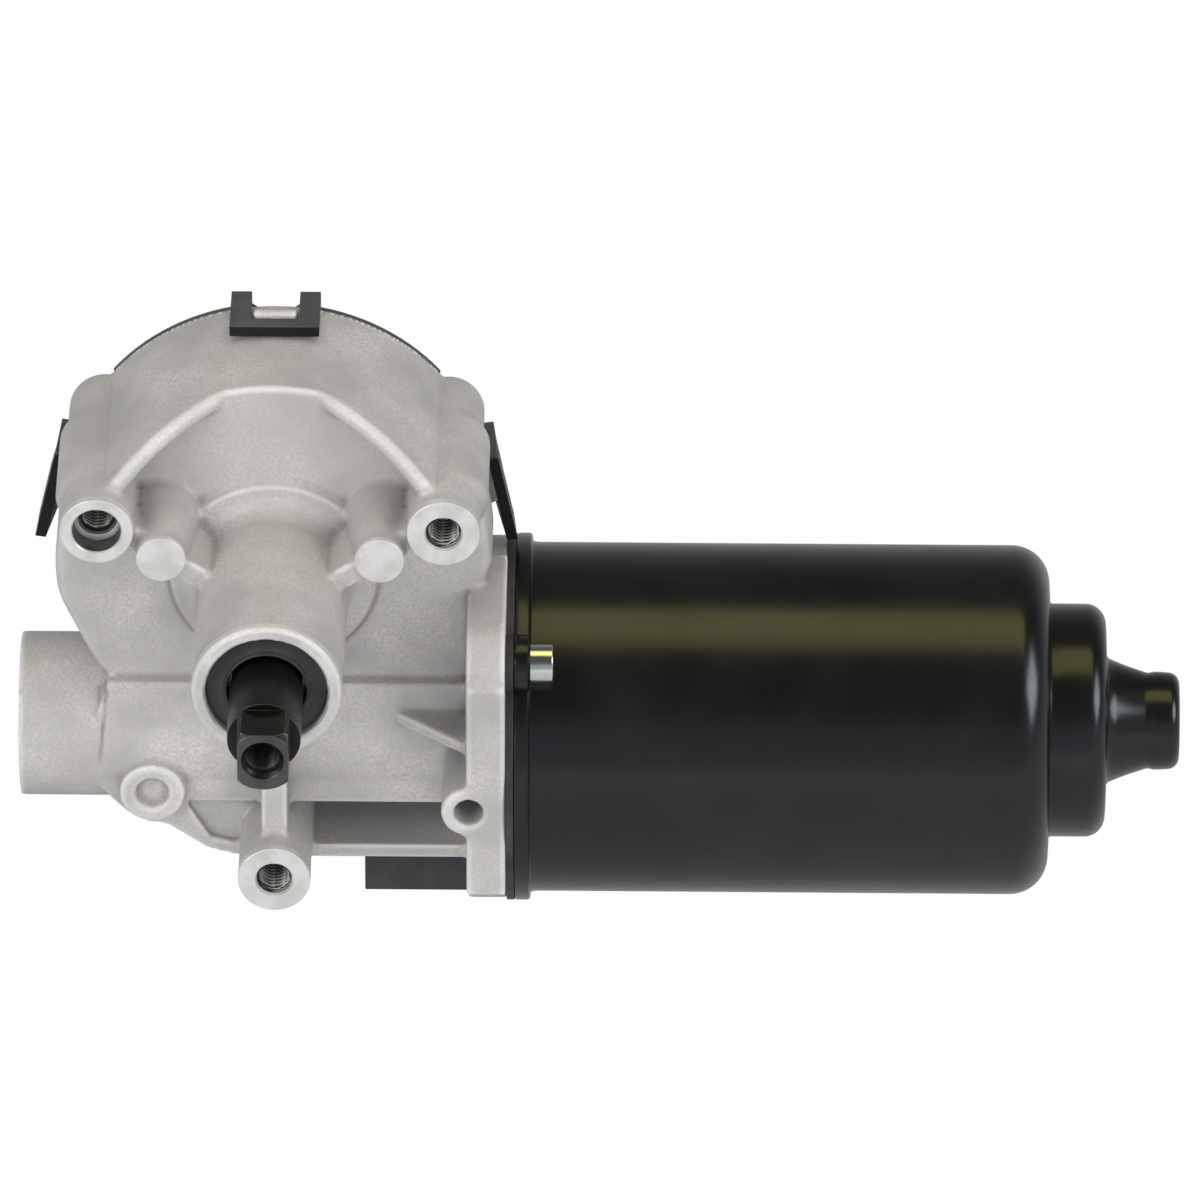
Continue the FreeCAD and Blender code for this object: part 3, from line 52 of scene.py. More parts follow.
towards_camera = Vector(
    (
        math.sin(LOOK_ASIDE) * math.cos(LOOK_DOWN),
        -math.cos(LOOK_ASIDE) * math.cos(LOOK_DOWN),
        math.sin(LOOK_DOWN),
    )
)
level_right = Vector((math.cos(LOOK_ASIDE), math.sin(LOOK_ASIDE), 0))
level_up = towards_camera.cross(level_right)
camera_right = level_right * math.cos(CAMERA_ROLL) + level_up * math.sin(CAMERA_ROLL)
camera_up = level_up * math.cos(CAMERA_ROLL) - level_right * math.sin(CAMERA_ROLL)

camera_data = bpy.data.cameras.new("catalogue_camera")
camera_data.sensor_width = SENSOR_WIDTH
camera_data.lens = SENSOR_WIDTH * CAMERA_DISTANCE / FRAME_WIDTH
camera_data.clip_end = 20
camera = bpy.data.objects.new("catalogue_camera", camera_data)
camera.matrix_world = Matrix.Translation(LOOK_AT + towards_camera * CAMERA_DISTANCE) @ Matrix(
    (camera_right, camera_up, towards_camera)
).transposed().to_4x4()
bpy.context.collection.objects.link(camera)
scene = bpy.context.scene
scene.camera = camera
scene.view_settings.view_transform = "Standard"

# THE STUDIO
# A light tent: even pale light from all round, soft lamps in front, to both sides and overhead,
# and a pale floor well below the motor. A warm strip and a cool glint only show as reflections.
WORLD_LEVEL = 0.6
TENT_LEVEL = 0.72
TENT_TINT = (1.0, 0.99, 0.97, 1)
# What glossy paint mirrors, by degrees up from straight ahead and on over the top to the back:
# the pale floor in front, then the dark room up to and over the ceiling lamp, then a pale wall.
SKY_BANDS = (
    (0, (0.72, 0.76, 0.82, 1)),
    (20, (0.6, 0.63, 0.68, 1)),
    (36, (0.16, 0.16, 0.16, 1)),
    (64, (0.12, 0.12, 0.11, 1)),
    (122, (0.14, 0.13, 0.11, 1)),
    (150, (0.3, 0.3, 0.3, 1)),
    (175, (0.6, 0.6, 0.62, 1)),
)
LAMP_AIM = Vector((0.05, 0.04, -0.02))
STRIP_WARM = (1.0, 0.86, 0.34)
GLINT_COOL = (0.93, 0.95, 1.0)
FLOOR_DROP = 0.135
FLOOR_SIZE = 6.0
FLOOR_GREY = (0.5, 0.5, 0.5, 1)
FLOOR_GLOW_SHARE = 0.97

world = bpy.data.worlds.new("pale_world")
scene.world = world
world.use_nodes = True
world_nodes = world.node_tree
world_nodes.nodes.clear()
world_out = world_nodes.nodes.new("ShaderNodeOutputWorld")
soft_sky = world_nodes.nodes.new("ShaderNodeBackground")
soft_sky.inputs["Strength"].default_value = WORLD_LEVEL
heading = world_nodes.nodes.new("ShaderNodeTexCoord")
split = world_nodes.nodes.new("ShaderNodeSeparateXYZ")
world_nodes.links.new(heading.outputs["Generated"], split.inputs[0])
forward = world_nodes.nodes.new("ShaderNodeMath")
forward.operation = "MULTIPLY"
forward.inputs[1].default_value = -1
world_nodes.links.new(split.outputs["Y"], forward.inputs[0])
rise = world_nodes.nodes.new("ShaderNodeMath")
rise.operation = "ARCTAN2"
world_nodes.links.new(split.outputs["Z"], rise.inputs[0])
world_nodes.links.new(forward.outputs[0], rise.inputs[1])
turn = world_nodes.nodes.new("ShaderNodeMapRange")
turn.inputs["From Min"].default_value = -math.pi
turn.inputs["From Max"].default_value = math.pi
world_nodes.links.new(rise.outputs[0], turn.inputs["Value"])
bands = world_nodes.nodes.new("ShaderNodeValToRGB")
for degrees, colour in SKY_BANDS:
    stop = bands.color_ramp.elements.new(0.5 + degrees / 360)
    stop.color = colour
for spare in (bands.color_ramp.elements[0], bands.color_ramp.elements[-1]):
    spare.color = SKY_BANDS[0][1]
world_nodes.links.new(turn.outputs["Result"], bands.inputs["Fac"])
world_nodes.links.new(bands.outputs["Color"], soft_sky.inputs["Color"])
white_sky = world_nodes.nodes.new("ShaderNodeBackground")
white_sky.inputs["Color"].default_value = (1, 1, 1, 1)
tent = world_nodes.nodes.new("ShaderNodeBackground")
tent.inputs["Color"].default_value = TENT_TINT
tent.inputs["Strength"].default_value = TENT_LEVEL
seen = world_nodes.nodes.new("ShaderNodeLightPath")
tent_mix = world_nodes.nodes.new("ShaderNodeMixShader")
world_nodes.links.new(seen.outputs["Is Diffuse Ray"], tent_mix.inputs["Fac"])
world_nodes.links.new(soft_sky.outputs[0], tent_mix.inputs[1])
world_nodes.links.new(tent.outputs[0], tent_mix.inputs[2])
sky_mix = world_nodes.nodes.new("ShaderNodeMixShader")
world_nodes.links.new(seen.outputs["Is Camera Ray"], sky_mix.inputs["Fac"])
world_nodes.links.new(tent_mix.outputs[0], sky_mix.inputs[1])
world_nodes.links.new(white_sky.outputs[0], sky_mix.inputs[2])
world_nodes.links.new(sky_mix.outputs[0], world_out.inputs["Surface"])


def soft_lamp(name, place, size, power, colour=(1, 1, 1), mirrored=True):
    """An area lamp turned to face the motor; a fill is one that no glossy skin mirrors."""
    lamp_data = bpy.data.lights.new(name, "AREA")
    lamp_data.shape = "RECTANGLE"
    lamp_data.size, lamp_data.size_y = size
    lamp_data.energy = power
    lamp_data.color = colour
    lamp = bpy.data.objects.new(name, lamp_data)
    lamp.location = place
    lamp.rotation_euler = (LAMP_AIM - Vector(place)).to_track_quat("-Z", "Y").to_euler()
    lamp.visible_glossy = mirrored
    bpy.context.collection.objects.link(lamp)
    return lamp


soft_lamp("left_lamp", (-1.05, -0.95, 0.62), (0.9, 0.9), power=12)
soft_lamp("right_lamp", (1.2, -0.95, 0.55), (0.9, 0.9), power=11.5, mirrored=False)
soft_lamp("front_fill", (0.05, -1.3, 0.2), (1.2, 0.9), power=8.5, mirrored=False)
soft_lamp("top_fill", (0.05, 0.2, 1.2), (1.0, 0.8), power=2.5, mirrored=False)
strip = soft_lamp("warm_strip", (0.15, 0.12, 1.15), (1.3, 0.6), power=4.4, colour=STRIP_WARM)
strip.rotation_euler = (0, 0, 0)
strip.visible_diffuse = False
glint = soft_lamp("right_glint", (1.55, -0.35, 0.8), (0.9, 0.8), power=15, colour=GLINT_COOL)
glint.visible_diffuse = False

floor_data = bpy.data.meshes.new("studio_floor")
half_floor = FLOOR_SIZE / 2
floor_corners = [
    (across * half_floor, back * half_floor, -FLOOR_DROP)
    for across, back in ((-1, -1), (1, -1), (1, 1), (-1, 1))
]
floor_data.from_pydata(floor_corners, [], [(0, 1, 2, 3)])
floor = bpy.data.objects.new("studio_floor", floor_data)
bpy.context.collection.objects.link(floor)
floor_finish = bpy.data.materials.new("pale_floor")
floor_finish.use_nodes = True
floor_nodes = floor_finish.node_tree
floor_nodes.nodes.clear()
floor_out = floor_nodes.nodes.new("ShaderNodeOutputMaterial")
floor_paper = floor_nodes.nodes.new("ShaderNodeBsdfDiffuse")
floor_paper.inputs["Color"].default_value = FLOOR_GREY
floor_glow = floor_nodes.nodes.new("ShaderNodeEmission")
floor_glow.inputs["Strength"].default_value = 1.0
floor_seen = floor_nodes.nodes.new("ShaderNodeLightPath")
floor_share = floor_nodes.nodes.new("ShaderNodeMath")
floor_share.operation = "MULTIPLY"
floor_share.inputs[1].default_value = FLOOR_GLOW_SHARE
floor_mix = floor_nodes.nodes.new("ShaderNodeMixShader")
floor_nodes.links.new(floor_seen.outputs["Is Camera Ray"], floor_share.inputs[0])
floor_nodes.links.new(floor_share.outputs[0], floor_mix.inputs["Fac"])
floor_nodes.links.new(floor_paper.outputs[0], floor_mix.inputs[1])
floor_nodes.links.new(floor_glow.outputs[0], floor_mix.inputs[2])
floor_nodes.links.new(floor_mix.outputs[0], floor_out.inputs["Surface"])
floor_data.materials.append(floor_finish)

# GEAR HOUSING
# Pressure die-cast aluminium, left as it came from the die: every inner corner is rounded by
# the tool and the skin has a fine, slightly blotchy grain. Outward corners carry a painted
# highlight and crevices painted shade.
CAST_PALE = (0.52, 0.507, 0.497, 1)
CAST_DULL = (0.36, 0.351, 0.344, 1)
CAST_WARM = (0.43, 0.41, 0.375, 1)
# The next colour is a painted highlight for outward corners, and the one after it is painted
# shade for crevices.
CAST_HIGHLIGHT = (0.74, 0.73, 0.72, 1)
CAST_SHADE = (0.14, 0.13, 0.115, 1)
MILLED_PALE = (0.56, 0.556, 0.55, 1)
MILLED_DULL = (0.47, 0.465, 0.455, 1)
# The bored walls are painted darker than cut metal, as painted shade inside the holes.
BORED_PALE = (0.36, 0.355, 0.33, 1)
BORED_DULL = (0.17, 0.165, 0.16, 1)
# Painted shade for the roots of threads.
ROOT_SHADE_PALE = (0.03, 0.03, 0.028, 1)
ROOT_SHADE_DULL = (0.015, 0.015, 0.015, 1)
# Painted shade for the deep bore in front of the left thread.
BORE_SHADE_PALE = (0.13, 0.125, 0.12, 1)
BORE_SHADE_DULL = (0.06, 0.058, 0.055, 1)
# Where the skin counts as bent, from the start of the change to its full strength: outwards it
# gets a painted highlight, inwards painted shade. On the flat the bend is 0.5.
HIGHLIGHT_BEND = (0.512, 0.56)
SHADE_BEND = (0.49, 0.45)
CAST_VOXEL = 0.5 * MM
CAST_SMOOTHING = 5


def new_finish(name):
    """A bare Principled material: returns it, its node tree and its shader."""
    finish = bpy.data.materials.new(name)
    finish.use_nodes = True
    tree = finish.node_tree
    tree.nodes.clear()
    out = tree.nodes.new("ShaderNodeOutputMaterial")
    shader = tree.nodes.new("ShaderNodeBsdfPrincipled")
    tree.links.new(shader.outputs[0], out.inputs["Surface"])
    return finish, tree, shader


def grain(tree, scale, detail, stretch=None):
    """Noise in the piece's own metres, stretched along an axis if asked."""
    where = tree.nodes.new("ShaderNodeTexCoord").outputs["Object"]
    if stretch:
        mapping = tree.nodes.new("ShaderNodeMapping")
        mapping.inputs["Scale"].default_value = stretch
        tree.links.new(where, mapping.inputs["Vector"])
        where = mapping.outputs["Vector"]
    noise = tree.nodes.new("ShaderNodeTexNoise")
    noise.inputs["Scale"].default_value = scale
    noise.inputs["Detail"].default_value = detail
    tree.links.new(where, noise.inputs["Vector"])
    return noise.outputs["Fac"]


def ranged(tree, value, low, high, new_low=0.0, new_high=1.0):
    """A value between two levels, brought to two others."""
    level = tree.nodes.new("ShaderNodeMapRange")
    level.inputs["From Min"].default_value = low
    level.inputs["From Max"].default_value = high
    level.inputs["To Min"].default_value = new_low
    level.inputs["To Max"].default_value = new_high
    tree.links.new(value, level.inputs["Value"])
    return level.outputs["Result"]


def blended(tree, share, first, second):
    """One colour over another; each is a colour or another node's output."""
    mix = tree.nodes.new("ShaderNodeMix")
    mix.data_type = "RGBA"
    tree.links.new(share, mix.inputs["Factor"])
    for colour, socket in ((first, mix.inputs["A"]), (second, mix.inputs["B"])):
        if isinstance(colour, tuple):
            socket.default_value = colour
        else:
            tree.links.new(colour, socket)
    return mix.outputs["Result"]


def bumped(tree, shader, height, strength, depth):
    """Fine relief on the skin."""
    bump = tree.nodes.new("ShaderNodeBump")
    bump.inputs["Strength"].default_value = strength
    bump.inputs["Distance"].default_value = depth
    tree.links.new(height, bump.inputs["Height"])
    tree.links.new(bump.outputs["Normal"], shader.inputs["Normal"])


def cast_finish(name, pale, dull, warm, edge):
    """Die-cast skin: blotches, stains and speckle, with a painted highlight on corners and
    painted shade in crevices.
    """
    finish, tree, shader = new_finish(name)
    shader.inputs["Metallic"].default_value = 0.25
    blotch = ranged(tree, grain(tree, scale=70, detail=3), 0.35, 0.65)
    colour = blended(tree, blotch, dull, pale)
    stain = ranged(tree, grain(tree, scale=38, detail=2), 0.55, 0.75, 0.0, 0.55)
    colour = blended(tree, stain, colour, warm)
    speckle = ranged(tree, grain(tree, scale=2000, detail=2), 0.36, 0.64, 0.0, 0.7)
    colour = blended(tree, speckle, colour, dull)
    bend_reader = tree.nodes.new("ShaderNodeAttribute")
    bend_reader.attribute_name = "bend"
    bend = bend_reader.outputs["Fac"]
    # A painted highlight on outward corners, then painted shade in crevices, both read from the
    # bend.
    colour = blended(tree, ranged(tree, bend, *HIGHLIGHT_BEND), colour, edge)
    colour = blended(tree, ranged(tree, bend, *SHADE_BEND, 0.0, 0.8), colour, CAST_SHADE)
    tree.links.new(colour, shader.inputs["Base Color"])
    rough = ranged(tree, grain(tree, scale=500, detail=2), 0.3, 0.7, 0.56, 0.7)
    tree.links.new(rough, shader.inputs["Roughness"])
    relief_noise = grain(tree, scale=1500, detail=3)
    bumped(tree, shader, relief_noise, strength=0.5, depth=0.16 * MM)
    return finish


def bend_kept(piece, evenings):
    """Keep how the skin bends at each point: 0.5 if flat, more on a corner, less in a crevice."""
    mesh = piece.data
    links = [tuple(edge.vertices) for edge in mesh.edges]
    places = [vertex.co.copy() for vertex in mesh.vertices]
    pulls = [Vector() for place in places]
    shares = [0] * len(places)
    for first, second in links:
        way = (places[second] - places[first]).normalized()
        pulls[first] += way
        pulls[second] -= way
        shares[first] += 1
        shares[second] += 1
    bends = [
        math.acos(max(-1.0, min(1.0, vertex.normal.dot(pull) / share))) / math.pi
        for vertex, pull, share in zip(mesh.vertices, pulls, shares)
    ]
    for _ in range(evenings):
        sums = list(bends)
        for first, second in links:
            sums[first] += bends[second]
            sums[second] += bends[first]
        bends = [total / (share + 1) for total, share in zip(sums, shares)]
    mesh.attributes.new("bend", "FLOAT", "POINT").data.foreach_set("value", bends)


def settled(piece):
    """Apply a piece's modifiers to its mesh."""
    graph = bpy.context.evaluated_depsgraph_get()
    mesh = bpy.data.meshes.new_from_object(piece.evaluated_get(graph))
    piece.modifiers.clear()
    piece.data = mesh
    return piece


def machined_finish(name, pale, dull, axis):
    """Cut metal: fine tool marks drawn out along an axis, with a few dull patches."""
    finish, tree, shader = new_finish(name)
    shader.inputs["Metallic"].default_value = 0.35
    patch = ranged(tree, grain(tree, scale=240, detail=3), 0.42, 0.62)
    colour = blended(tree, patch, pale, dull)
    tree.links.new(colour, shader.inputs["Base Color"])
    rough = ranged(tree, grain(tree, scale=900, detail=2), 0.3, 0.7, 0.42, 0.55)
    tree.links.new(rough, shader.inputs["Roughness"])
    relief_noise = grain(tree, scale=2600, detail=2, stretch=axis)
    bumped(tree, shader, relief_noise, strength=0.25, depth=0.05 * MM)
    return finish


def to_shaft(station, first, second):
    """A place from a setback along the output shaft's axis and two offsets from it, in mm."""
    return Vector((first, station, second)) * MM


MOTOR_BACK, MOTOR_DROP = 52.0, -36.7


def to_motor(station, first, second):
    """The same along the motor's axis, which lies behind and below the output shaft's."""
    return Vector((station, MOTOR_BACK + first, MOTOR_DROP + second)) * MM


def crisp(piece, angle=32):
    """Smooth shading, broken where the skin turns by more than an angle."""
    for polygon in piece.data.polygons:
        polygon.use_smooth = True
    piece.data.set_sharp_from_angle(angle=math.radians(angle))
    return piece


def from_bmesh(name, shape):
    """A new object of a shape, with its faces turned outwards."""
    bmesh.ops.recalc_face_normals(shape, faces=shape.faces)
    data = bpy.data.meshes.new(name)
    shape.to_mesh(data)
    shape.free()
    piece = bpy.data.objects.new(name, data)
    bpy.context.collection.objects.link(piece)
    return piece


def lathe(name, points, to_place, centre=(0.0, 0.0), segments=144, ring=False):
    """A turned piece: (station, radius) points in mm spun about a line along an axis."""
    shape = bmesh.new()
    rings = []
    for station, radius in points:
        around = segments if radius else 1
        rings.append(
            [
                shape.verts.new(
                    to_place(
                        station,
                        centre[0] + radius * math.cos(2 * math.pi * step / segments),
                        centre[1] + radius * math.sin(2 * math.pi * step / segments),
                    )
                )
                for step in range(around)
            ]
        )
    pairs = list(zip(rings, rings[1:]))
    if ring:
        pairs.append((rings[-1], rings[0]))
    for first, second in pairs:
        for step in range(segments):
            after = (step + 1) % segments
            corners = (
                first[step % len(first)],
                first[after % len(first)],
                second[after % len(second)],
                second[step % len(second)],
            )
            face = list(dict.fromkeys(corners))
            if len(face) > 2:
                shape.faces.new(face)
    return crisp(from_bmesh(name, shape))


THREAD_PITCH = 1.0
THREAD_STEPS = 8
THREAD_SEGMENTS = 48
CREST_STEEPNESS = 2.6


def threaded(name, to_place, centre, start, end, radius, depth):
    """The inside of a threaded hole: a sleeve whose skin rises and falls along a helix."""
    shape = bmesh.new()
    rows = int((end - start) / THREAD_PITCH * THREAD_STEPS) + 1
    rings = []
    for row in range(rows):
        station = start + row * THREAD_PITCH / THREAD_STEPS
        fade = min(1.0, (station - start) / THREAD_PITCH)
        ring = []
        for step in range(THREAD_SEGMENTS):
            phase = (station / THREAD_PITCH - step / THREAD_SEGMENTS) % 1.0
            crest = max(0.0, 1 - abs(phase - 0.5) * CREST_STEEPNESS)
            reach = radius - depth * crest * fade
            angle = 2 * math.pi * step / THREAD_SEGMENTS
            place = (centre[0] + reach * math.cos(angle), centre[1] + reach * math.sin(angle))
            ring.append(shape.verts.new(to_place(station, *place)))
        rings.append(ring)
    for first, second in zip(rings, rings[1:]):
        for step in range(THREAD_SEGMENTS):
            after = (step + 1) % THREAD_SEGMENTS
            shape.faces.new((first[step], first[after], second[after], second[step]))
    shape.faces.new(rings[-1])
    return crisp(from_bmesh(name, shape), 60)


def dressed(piece, finish, body, slot, *nodes, edges=None):
    """Give a piece its finish, and its worn edges theirs, and its place on the motor."""
    kinds = [polygon.material_index for polygon in piece.data.polygons]
    piece.data.materials.clear()
    piece.data.materials.append(finish)
    if edges:
        piece.data.materials.append(edges)
        piece.data.polygons.foreach_set("material_index", kinds)
    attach(piece, body)
    if nodes:
        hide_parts(*nodes)
    return piece


def deep_roots(thread, to_place, centre, radius, depth):
    """Darken the thread's roots with painted shade."""
    thread.data.materials.append(THREAD_ROOT_SHADE)
    middle = to_place(0, *centre)
    for polygon in thread.data.polygons:
        away = (polygon.center - middle) / MM
        if math.hypot(away.x, away.z) > radius - 0.5 * depth:
            polygon.material_index = 1


CAST = cast_finish("cast_skin", CAST_PALE, CAST_DULL, CAST_WARM, CAST_HIGHLIGHT)
FACE_MARKS, BORE_MARKS = (1, 0.02, 1), (1, 0.3, 1)
MILLED = machined_finish("milled_face", MILLED_PALE, MILLED_DULL, FACE_MARKS)
BORED = machined_finish("bored_wall", BORED_PALE, BORED_DULL, BORE_MARKS)
THREAD_ROOT_SHADE = machined_finish("thread_root_shade", ROOT_SHADE_PALE, ROOT_SHADE_DULL, BORE_MARKS)

casting = bpy.data.objects.new("housing_casting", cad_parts["gear_housing"].data.copy())
bpy.context.collection.objects.link(casting)
remesh = casting.modifiers.new("skin", "REMESH")
remesh.mode = "VOXEL"
remesh.voxel_size = CAST_VOXEL
remesh.use_smooth_shade = True
soften = casting.modifiers.new("die_radii", "SMOOTH")
soften.factor = 0.5
soften.iterations = CAST_SMOOTHING
settled(casting)

# The threaded holes are bored wide in the casting's skin, so that their ridges stand clear in it.
LEFT_BOSS, RIGHT_BOSS, FOOT_BOSS = (-30.0, 17.0), (30.0, 17.0), (0.0, -54.0)
THREADED = (
    ("left", LEFT_BOSS, 30.0, 40.0),
    ("right", RIGHT_BOSS, 25.5, 38.5),
    ("foot", FOOT_BOSS, 25.5, 37.5),
)
THREAD_RADIUS = 3.0
THREAD_DEPTH = 0.6
RIDGE_RADIUS = THREAD_RADIUS - 0.02
BORE_ROOM = 3.35
BORE_BEFORE, BORE_BEYOND = 0.4, 0.6
# Behind each machined face the skin lies a little back, and the cover's rim is turned true.
LEFT_PAD, RIGHT_PAD = (-18.9, 11.9), (18.9, 11.9)
BOSS_FACE, BOSS_REACH = 25.0, 6.1
PAD_FACE, PAD_REACH = 24.2, 4.0
FACED = (
    (LEFT_BOSS, BOSS_FACE, BOSS_REACH),
    (RIGHT_BOSS, BOSS_FACE, BOSS_REACH),
    (FOOT_BOSS, BOSS_FACE, BOSS_REACH),
    (LEFT_PAD, PAD_FACE, PAD_REACH),
    (RIGHT_PAD, PAD_FACE, PAD_REACH),
)
FACE_SETBACK = 0.3
RIM_PLACE, RIM_RADIUS = 68.6, 36.9
RIM_DEPTH, RIM_LIP = 0.9, 0.5
RIM_WITHIN, RIM_BEYOND = 0.7, 0.3
# The recess left of the foot is shallow and soft; its bend is set where painted crevice shade
# just begins, so it takes neither painted shade nor painted highlight.
POCKET_FLOOR, POCKET_BACK = 40.8, 56.0
POCKET_LEFT, POCKET_RIGHT = -18.0, -3.5
POCKET_BOTTOM, POCKET_TOP = -57.0, -46.9
POCKET_BEND = 0.49
POCKET_EVENINGS = 150
# Two shallow grooves near the worm tunnel's closed end; the deeper one leans. Both carry painted
# shade.
TUNNEL_BACK, TUNNEL_SIDE = 43.0, -26.0
TUNNEL_BOTTOM, TUNNEL_TOP = -41.0, -23.8
GROOVE_X, GROOVE_LEAN, GROOVE_TOP, GROOVE_WIDTH = -29.4, 0.095, -23.6, 0.45
GROOVE_FADE = (-41.0, -35.0)
FAINT_X, FAINT_WIDTH, FAINT_SHARE = -31.0, 0.35, 0.6
FAINT_FADE = (-28.5, -25.0)
GROOVE_DEPTH, GROOVE_SHADE = 0.3, 0.045
# The raised ring round the shaft boss, where it meets the drum's face: no painted highlight on
# it, and a thin line of painted shade round it.
RING_FRONT, RING_TOP = 38.0, 8.0
RING_INSIDE, RING_OUTSIDE = 16.8, 20.0
RING_RADIUS, RING_WIDTH, RING_SHADE = 18.3, 0.55, 0.035
# The step on top of the worm tunnel has a soft edge, which gets no painted highlight.
STEP_FRONT, STEP_BACK = 37.5, 42.5
STEP_BOTTOM, STEP_TOP = -26.5, -22.0
FLAT_BEND = 0.5
# The two upper pillars swell at their flanks, which fade out downwards, inwards and to both ends.
LEFT_FADE, RIGHT_FADE = (-14.0, -4.0), (-3.0, 2.0)
INWARD_FADE, FRONT_FADE, BACK_FADE = (29.0, 36.0), (33.0, 37.0), (58.5, 55.0)
PILLAR_SWELL = 1.2


def ramp(value, start, end):
    """0 before the start, 1 past the end, and a soft slope between."""
    share = max(0.0, min(1.0, (value - start) / (end - start)))
    return share * share * (3.0 - 2.0 * share)


def beside(distance, width):
    """1 on a line, fading softly to nearly 0 at twice a width from it."""
    return math.exp(-((distance / width) ** 2))


bend_kept(casting, 3)
bend_marks = casting.data.attributes["bend"].data
pocket = []
for vertex in casting.data.vertices:
    x, y, z = (coordinate / MM for coordinate in vertex.co)
    mark = bend_marks[vertex.index]
    out = math.hypot(x, z)
    for _, (across, rise), bore_start, bore_end in THREADED:
        away = math.hypot(x - across, z - rise)
        if bore_start - BORE_BEFORE < y < bore_end + BORE_BEYOND and away < BORE_ROOM:
            widened = BORE_ROOM / max(away, 0.5)
            vertex.co.x = (across + (x - across) * widened) * MM
            vertex.co.z = (rise + (z - rise) * widened) * MM
    for (across, rise), face, reach in FACED:
        if y < face + FACE_SETBACK and math.hypot(x - across, z - rise) < reach:
            vertex.co.y = (face + FACE_SETBACK) * MM
    if (
        POCKET_FLOOR < y < POCKET_BACK
        and POCKET_LEFT < x < POCKET_RIGHT
        and POCKET_BOTTOM < z < POCKET_TOP
    ):
        vertex.co.y = POCKET_FLOOR * MM
        mark.value = POCKET_BEND
        pocket.append(vertex.index)
    if STEP_FRONT < y < STEP_BACK and STEP_BOTTOM < z < STEP_TOP:
        mark.value = min(mark.value, FLAT_BEND)
    if y < TUNNEL_BACK and TUNNEL_BOTTOM < z < TUNNEL_TOP and x < TUNNEL_SIDE:
        groove = beside(x - GROOVE_X - GROOVE_LEAN * (z - GROOVE_TOP), GROOVE_WIDTH)
        groove *= ramp(z, *GROOVE_FADE)
        groove += FAINT_SHARE * beside(x - FAINT_X, FAINT_WIDTH) * ramp(z, *FAINT_FADE)
        vertex.co.y += GROOVE_DEPTH * groove * MM
        # Painted shade along the grooves.
        mark.value -= GROOVE_SHADE * groove
    if y > RING_FRONT and z < RING_TOP and RING_INSIDE < out < RING_OUTSIDE:
        line = beside(out - RING_RADIUS, RING_WIDTH)
        # No painted highlight on the ring, and a line of painted shade round it.
        mark.value = min(mark.value, FLAT_BEND) - RING_SHADE * line
    flank = ramp(z, *LEFT_FADE) if x < 0 else ramp(z, *RIGHT_FADE)
    flank *= ramp(abs(x), *INWARD_FADE) * ramp(y, *FRONT_FADE) * ramp(y, *BACK_FADE)
    vertex.co.x += math.copysign(PILLAR_SWELL * flank, x) * MM
    if y > RIM_PLACE - RIM_DEPTH and RIM_RADIUS - RIM_WITHIN < out < RIM_RADIUS + RIM_BEYOND:
        vertex.co.x, vertex.co.z = x * RIM_RADIUS / out * MM, z * RIM_RADIUS / out * MM
        if y > RIM_PLACE - RIM_LIP:
            vertex.co.y = RIM_PLACE * MM
evened = bmesh.new()
evened.from_mesh(casting.data)
evened.verts.ensure_lookup_table()
pocket_points = [evened.verts[index] for index in pocket]
for _ in range(POCKET_EVENINGS):
    bmesh.ops.smooth_vert(
        evened,
        verts=pocket_points,
        factor=0.5,
        use_axis_x=True,
        use_axis_y=True,
        use_axis_z=True,
    )
evened.to_mesh(casting.data)
evened.free()
dressed(casting, CAST, "housing", "cast_aluminium", "gear_housing")

for side, centre, start, end in THREADED:
    name = side + "_boss_thread"
    thread = threaded(name, to_shaft, centre, start, end, RIDGE_RADIUS, THREAD_DEPTH)
    # The thread's walls take the bored finish, which is painted shade.
    dressed(thread, BORED, "housing", "cast_aluminium")
    deep_roots(thread, to_shaft, centre, RIDGE_RADIUS, THREAD_DEPTH)

# The three mounting faces are milled to one plane, which leaves a sharp rim on each boss.
PILOT_MOUTH = [(25.6, 4.22), (25.3, 4.25), (25.0, 4.5)]
PLAIN_MOUTH = [(26.0, THREAD_RADIUS - 0.1), (25.0, THREAD_RADIUS + 0.35)]
RIM_OUTSIDE = [(25.0, 6.15), (25.12, 6.33), (26.6, 6.38), (27.4, 5.9)]
for side, centre, mouth in (
    ("left", LEFT_BOSS, PILOT_MOUTH),
    ("right", RIGHT_BOSS, PLAIN_MOUTH),
    ("foot", FOOT_BOSS, PLAIN_MOUTH),
):
    rim = lathe(side + "_boss_rim", mouth + RIM_OUTSIDE, to_shaft, centre)
    dressed(rim, MILLED, "housing", "cast_aluminium")

# The left boss is bored out in front of its thread, and the bore is painted dark, as painted
# shade.
pilot_points = [
    (30.4, THREAD_RADIUS - 0.1),
    (29.9, THREAD_RADIUS + 0.3),
    (30.0, 4.15),
    (25.5, 4.22),
]
pilot = lathe("left_boss_pilot", pilot_points, to_shaft, LEFT_BOSS, 96)
SHADED_BORE = machined_finish("shaded_bore", BORE_SHADE_PALE, BORE_SHADE_DULL, BORE_MARKS)
dressed(pilot, SHADED_BORE, "housing", "cast_aluminium")

# The shaft boss's mouth is faced and chamfered, and bored for the seal.
mouth_points = [
    (8.9, 10.55),
    (0.45, 10.55),
    (0.0, 10.95),
    (-0.02, 12.2),
    (0.5, 12.85),
    (1.7, 13.03),
    (2.6, 12.6),
]
mouth = lathe("shaft_boss_mouth", mouth_points, to_shaft, segments=192)
dressed(mouth, MILLED, "housing", "cast_aluminium")

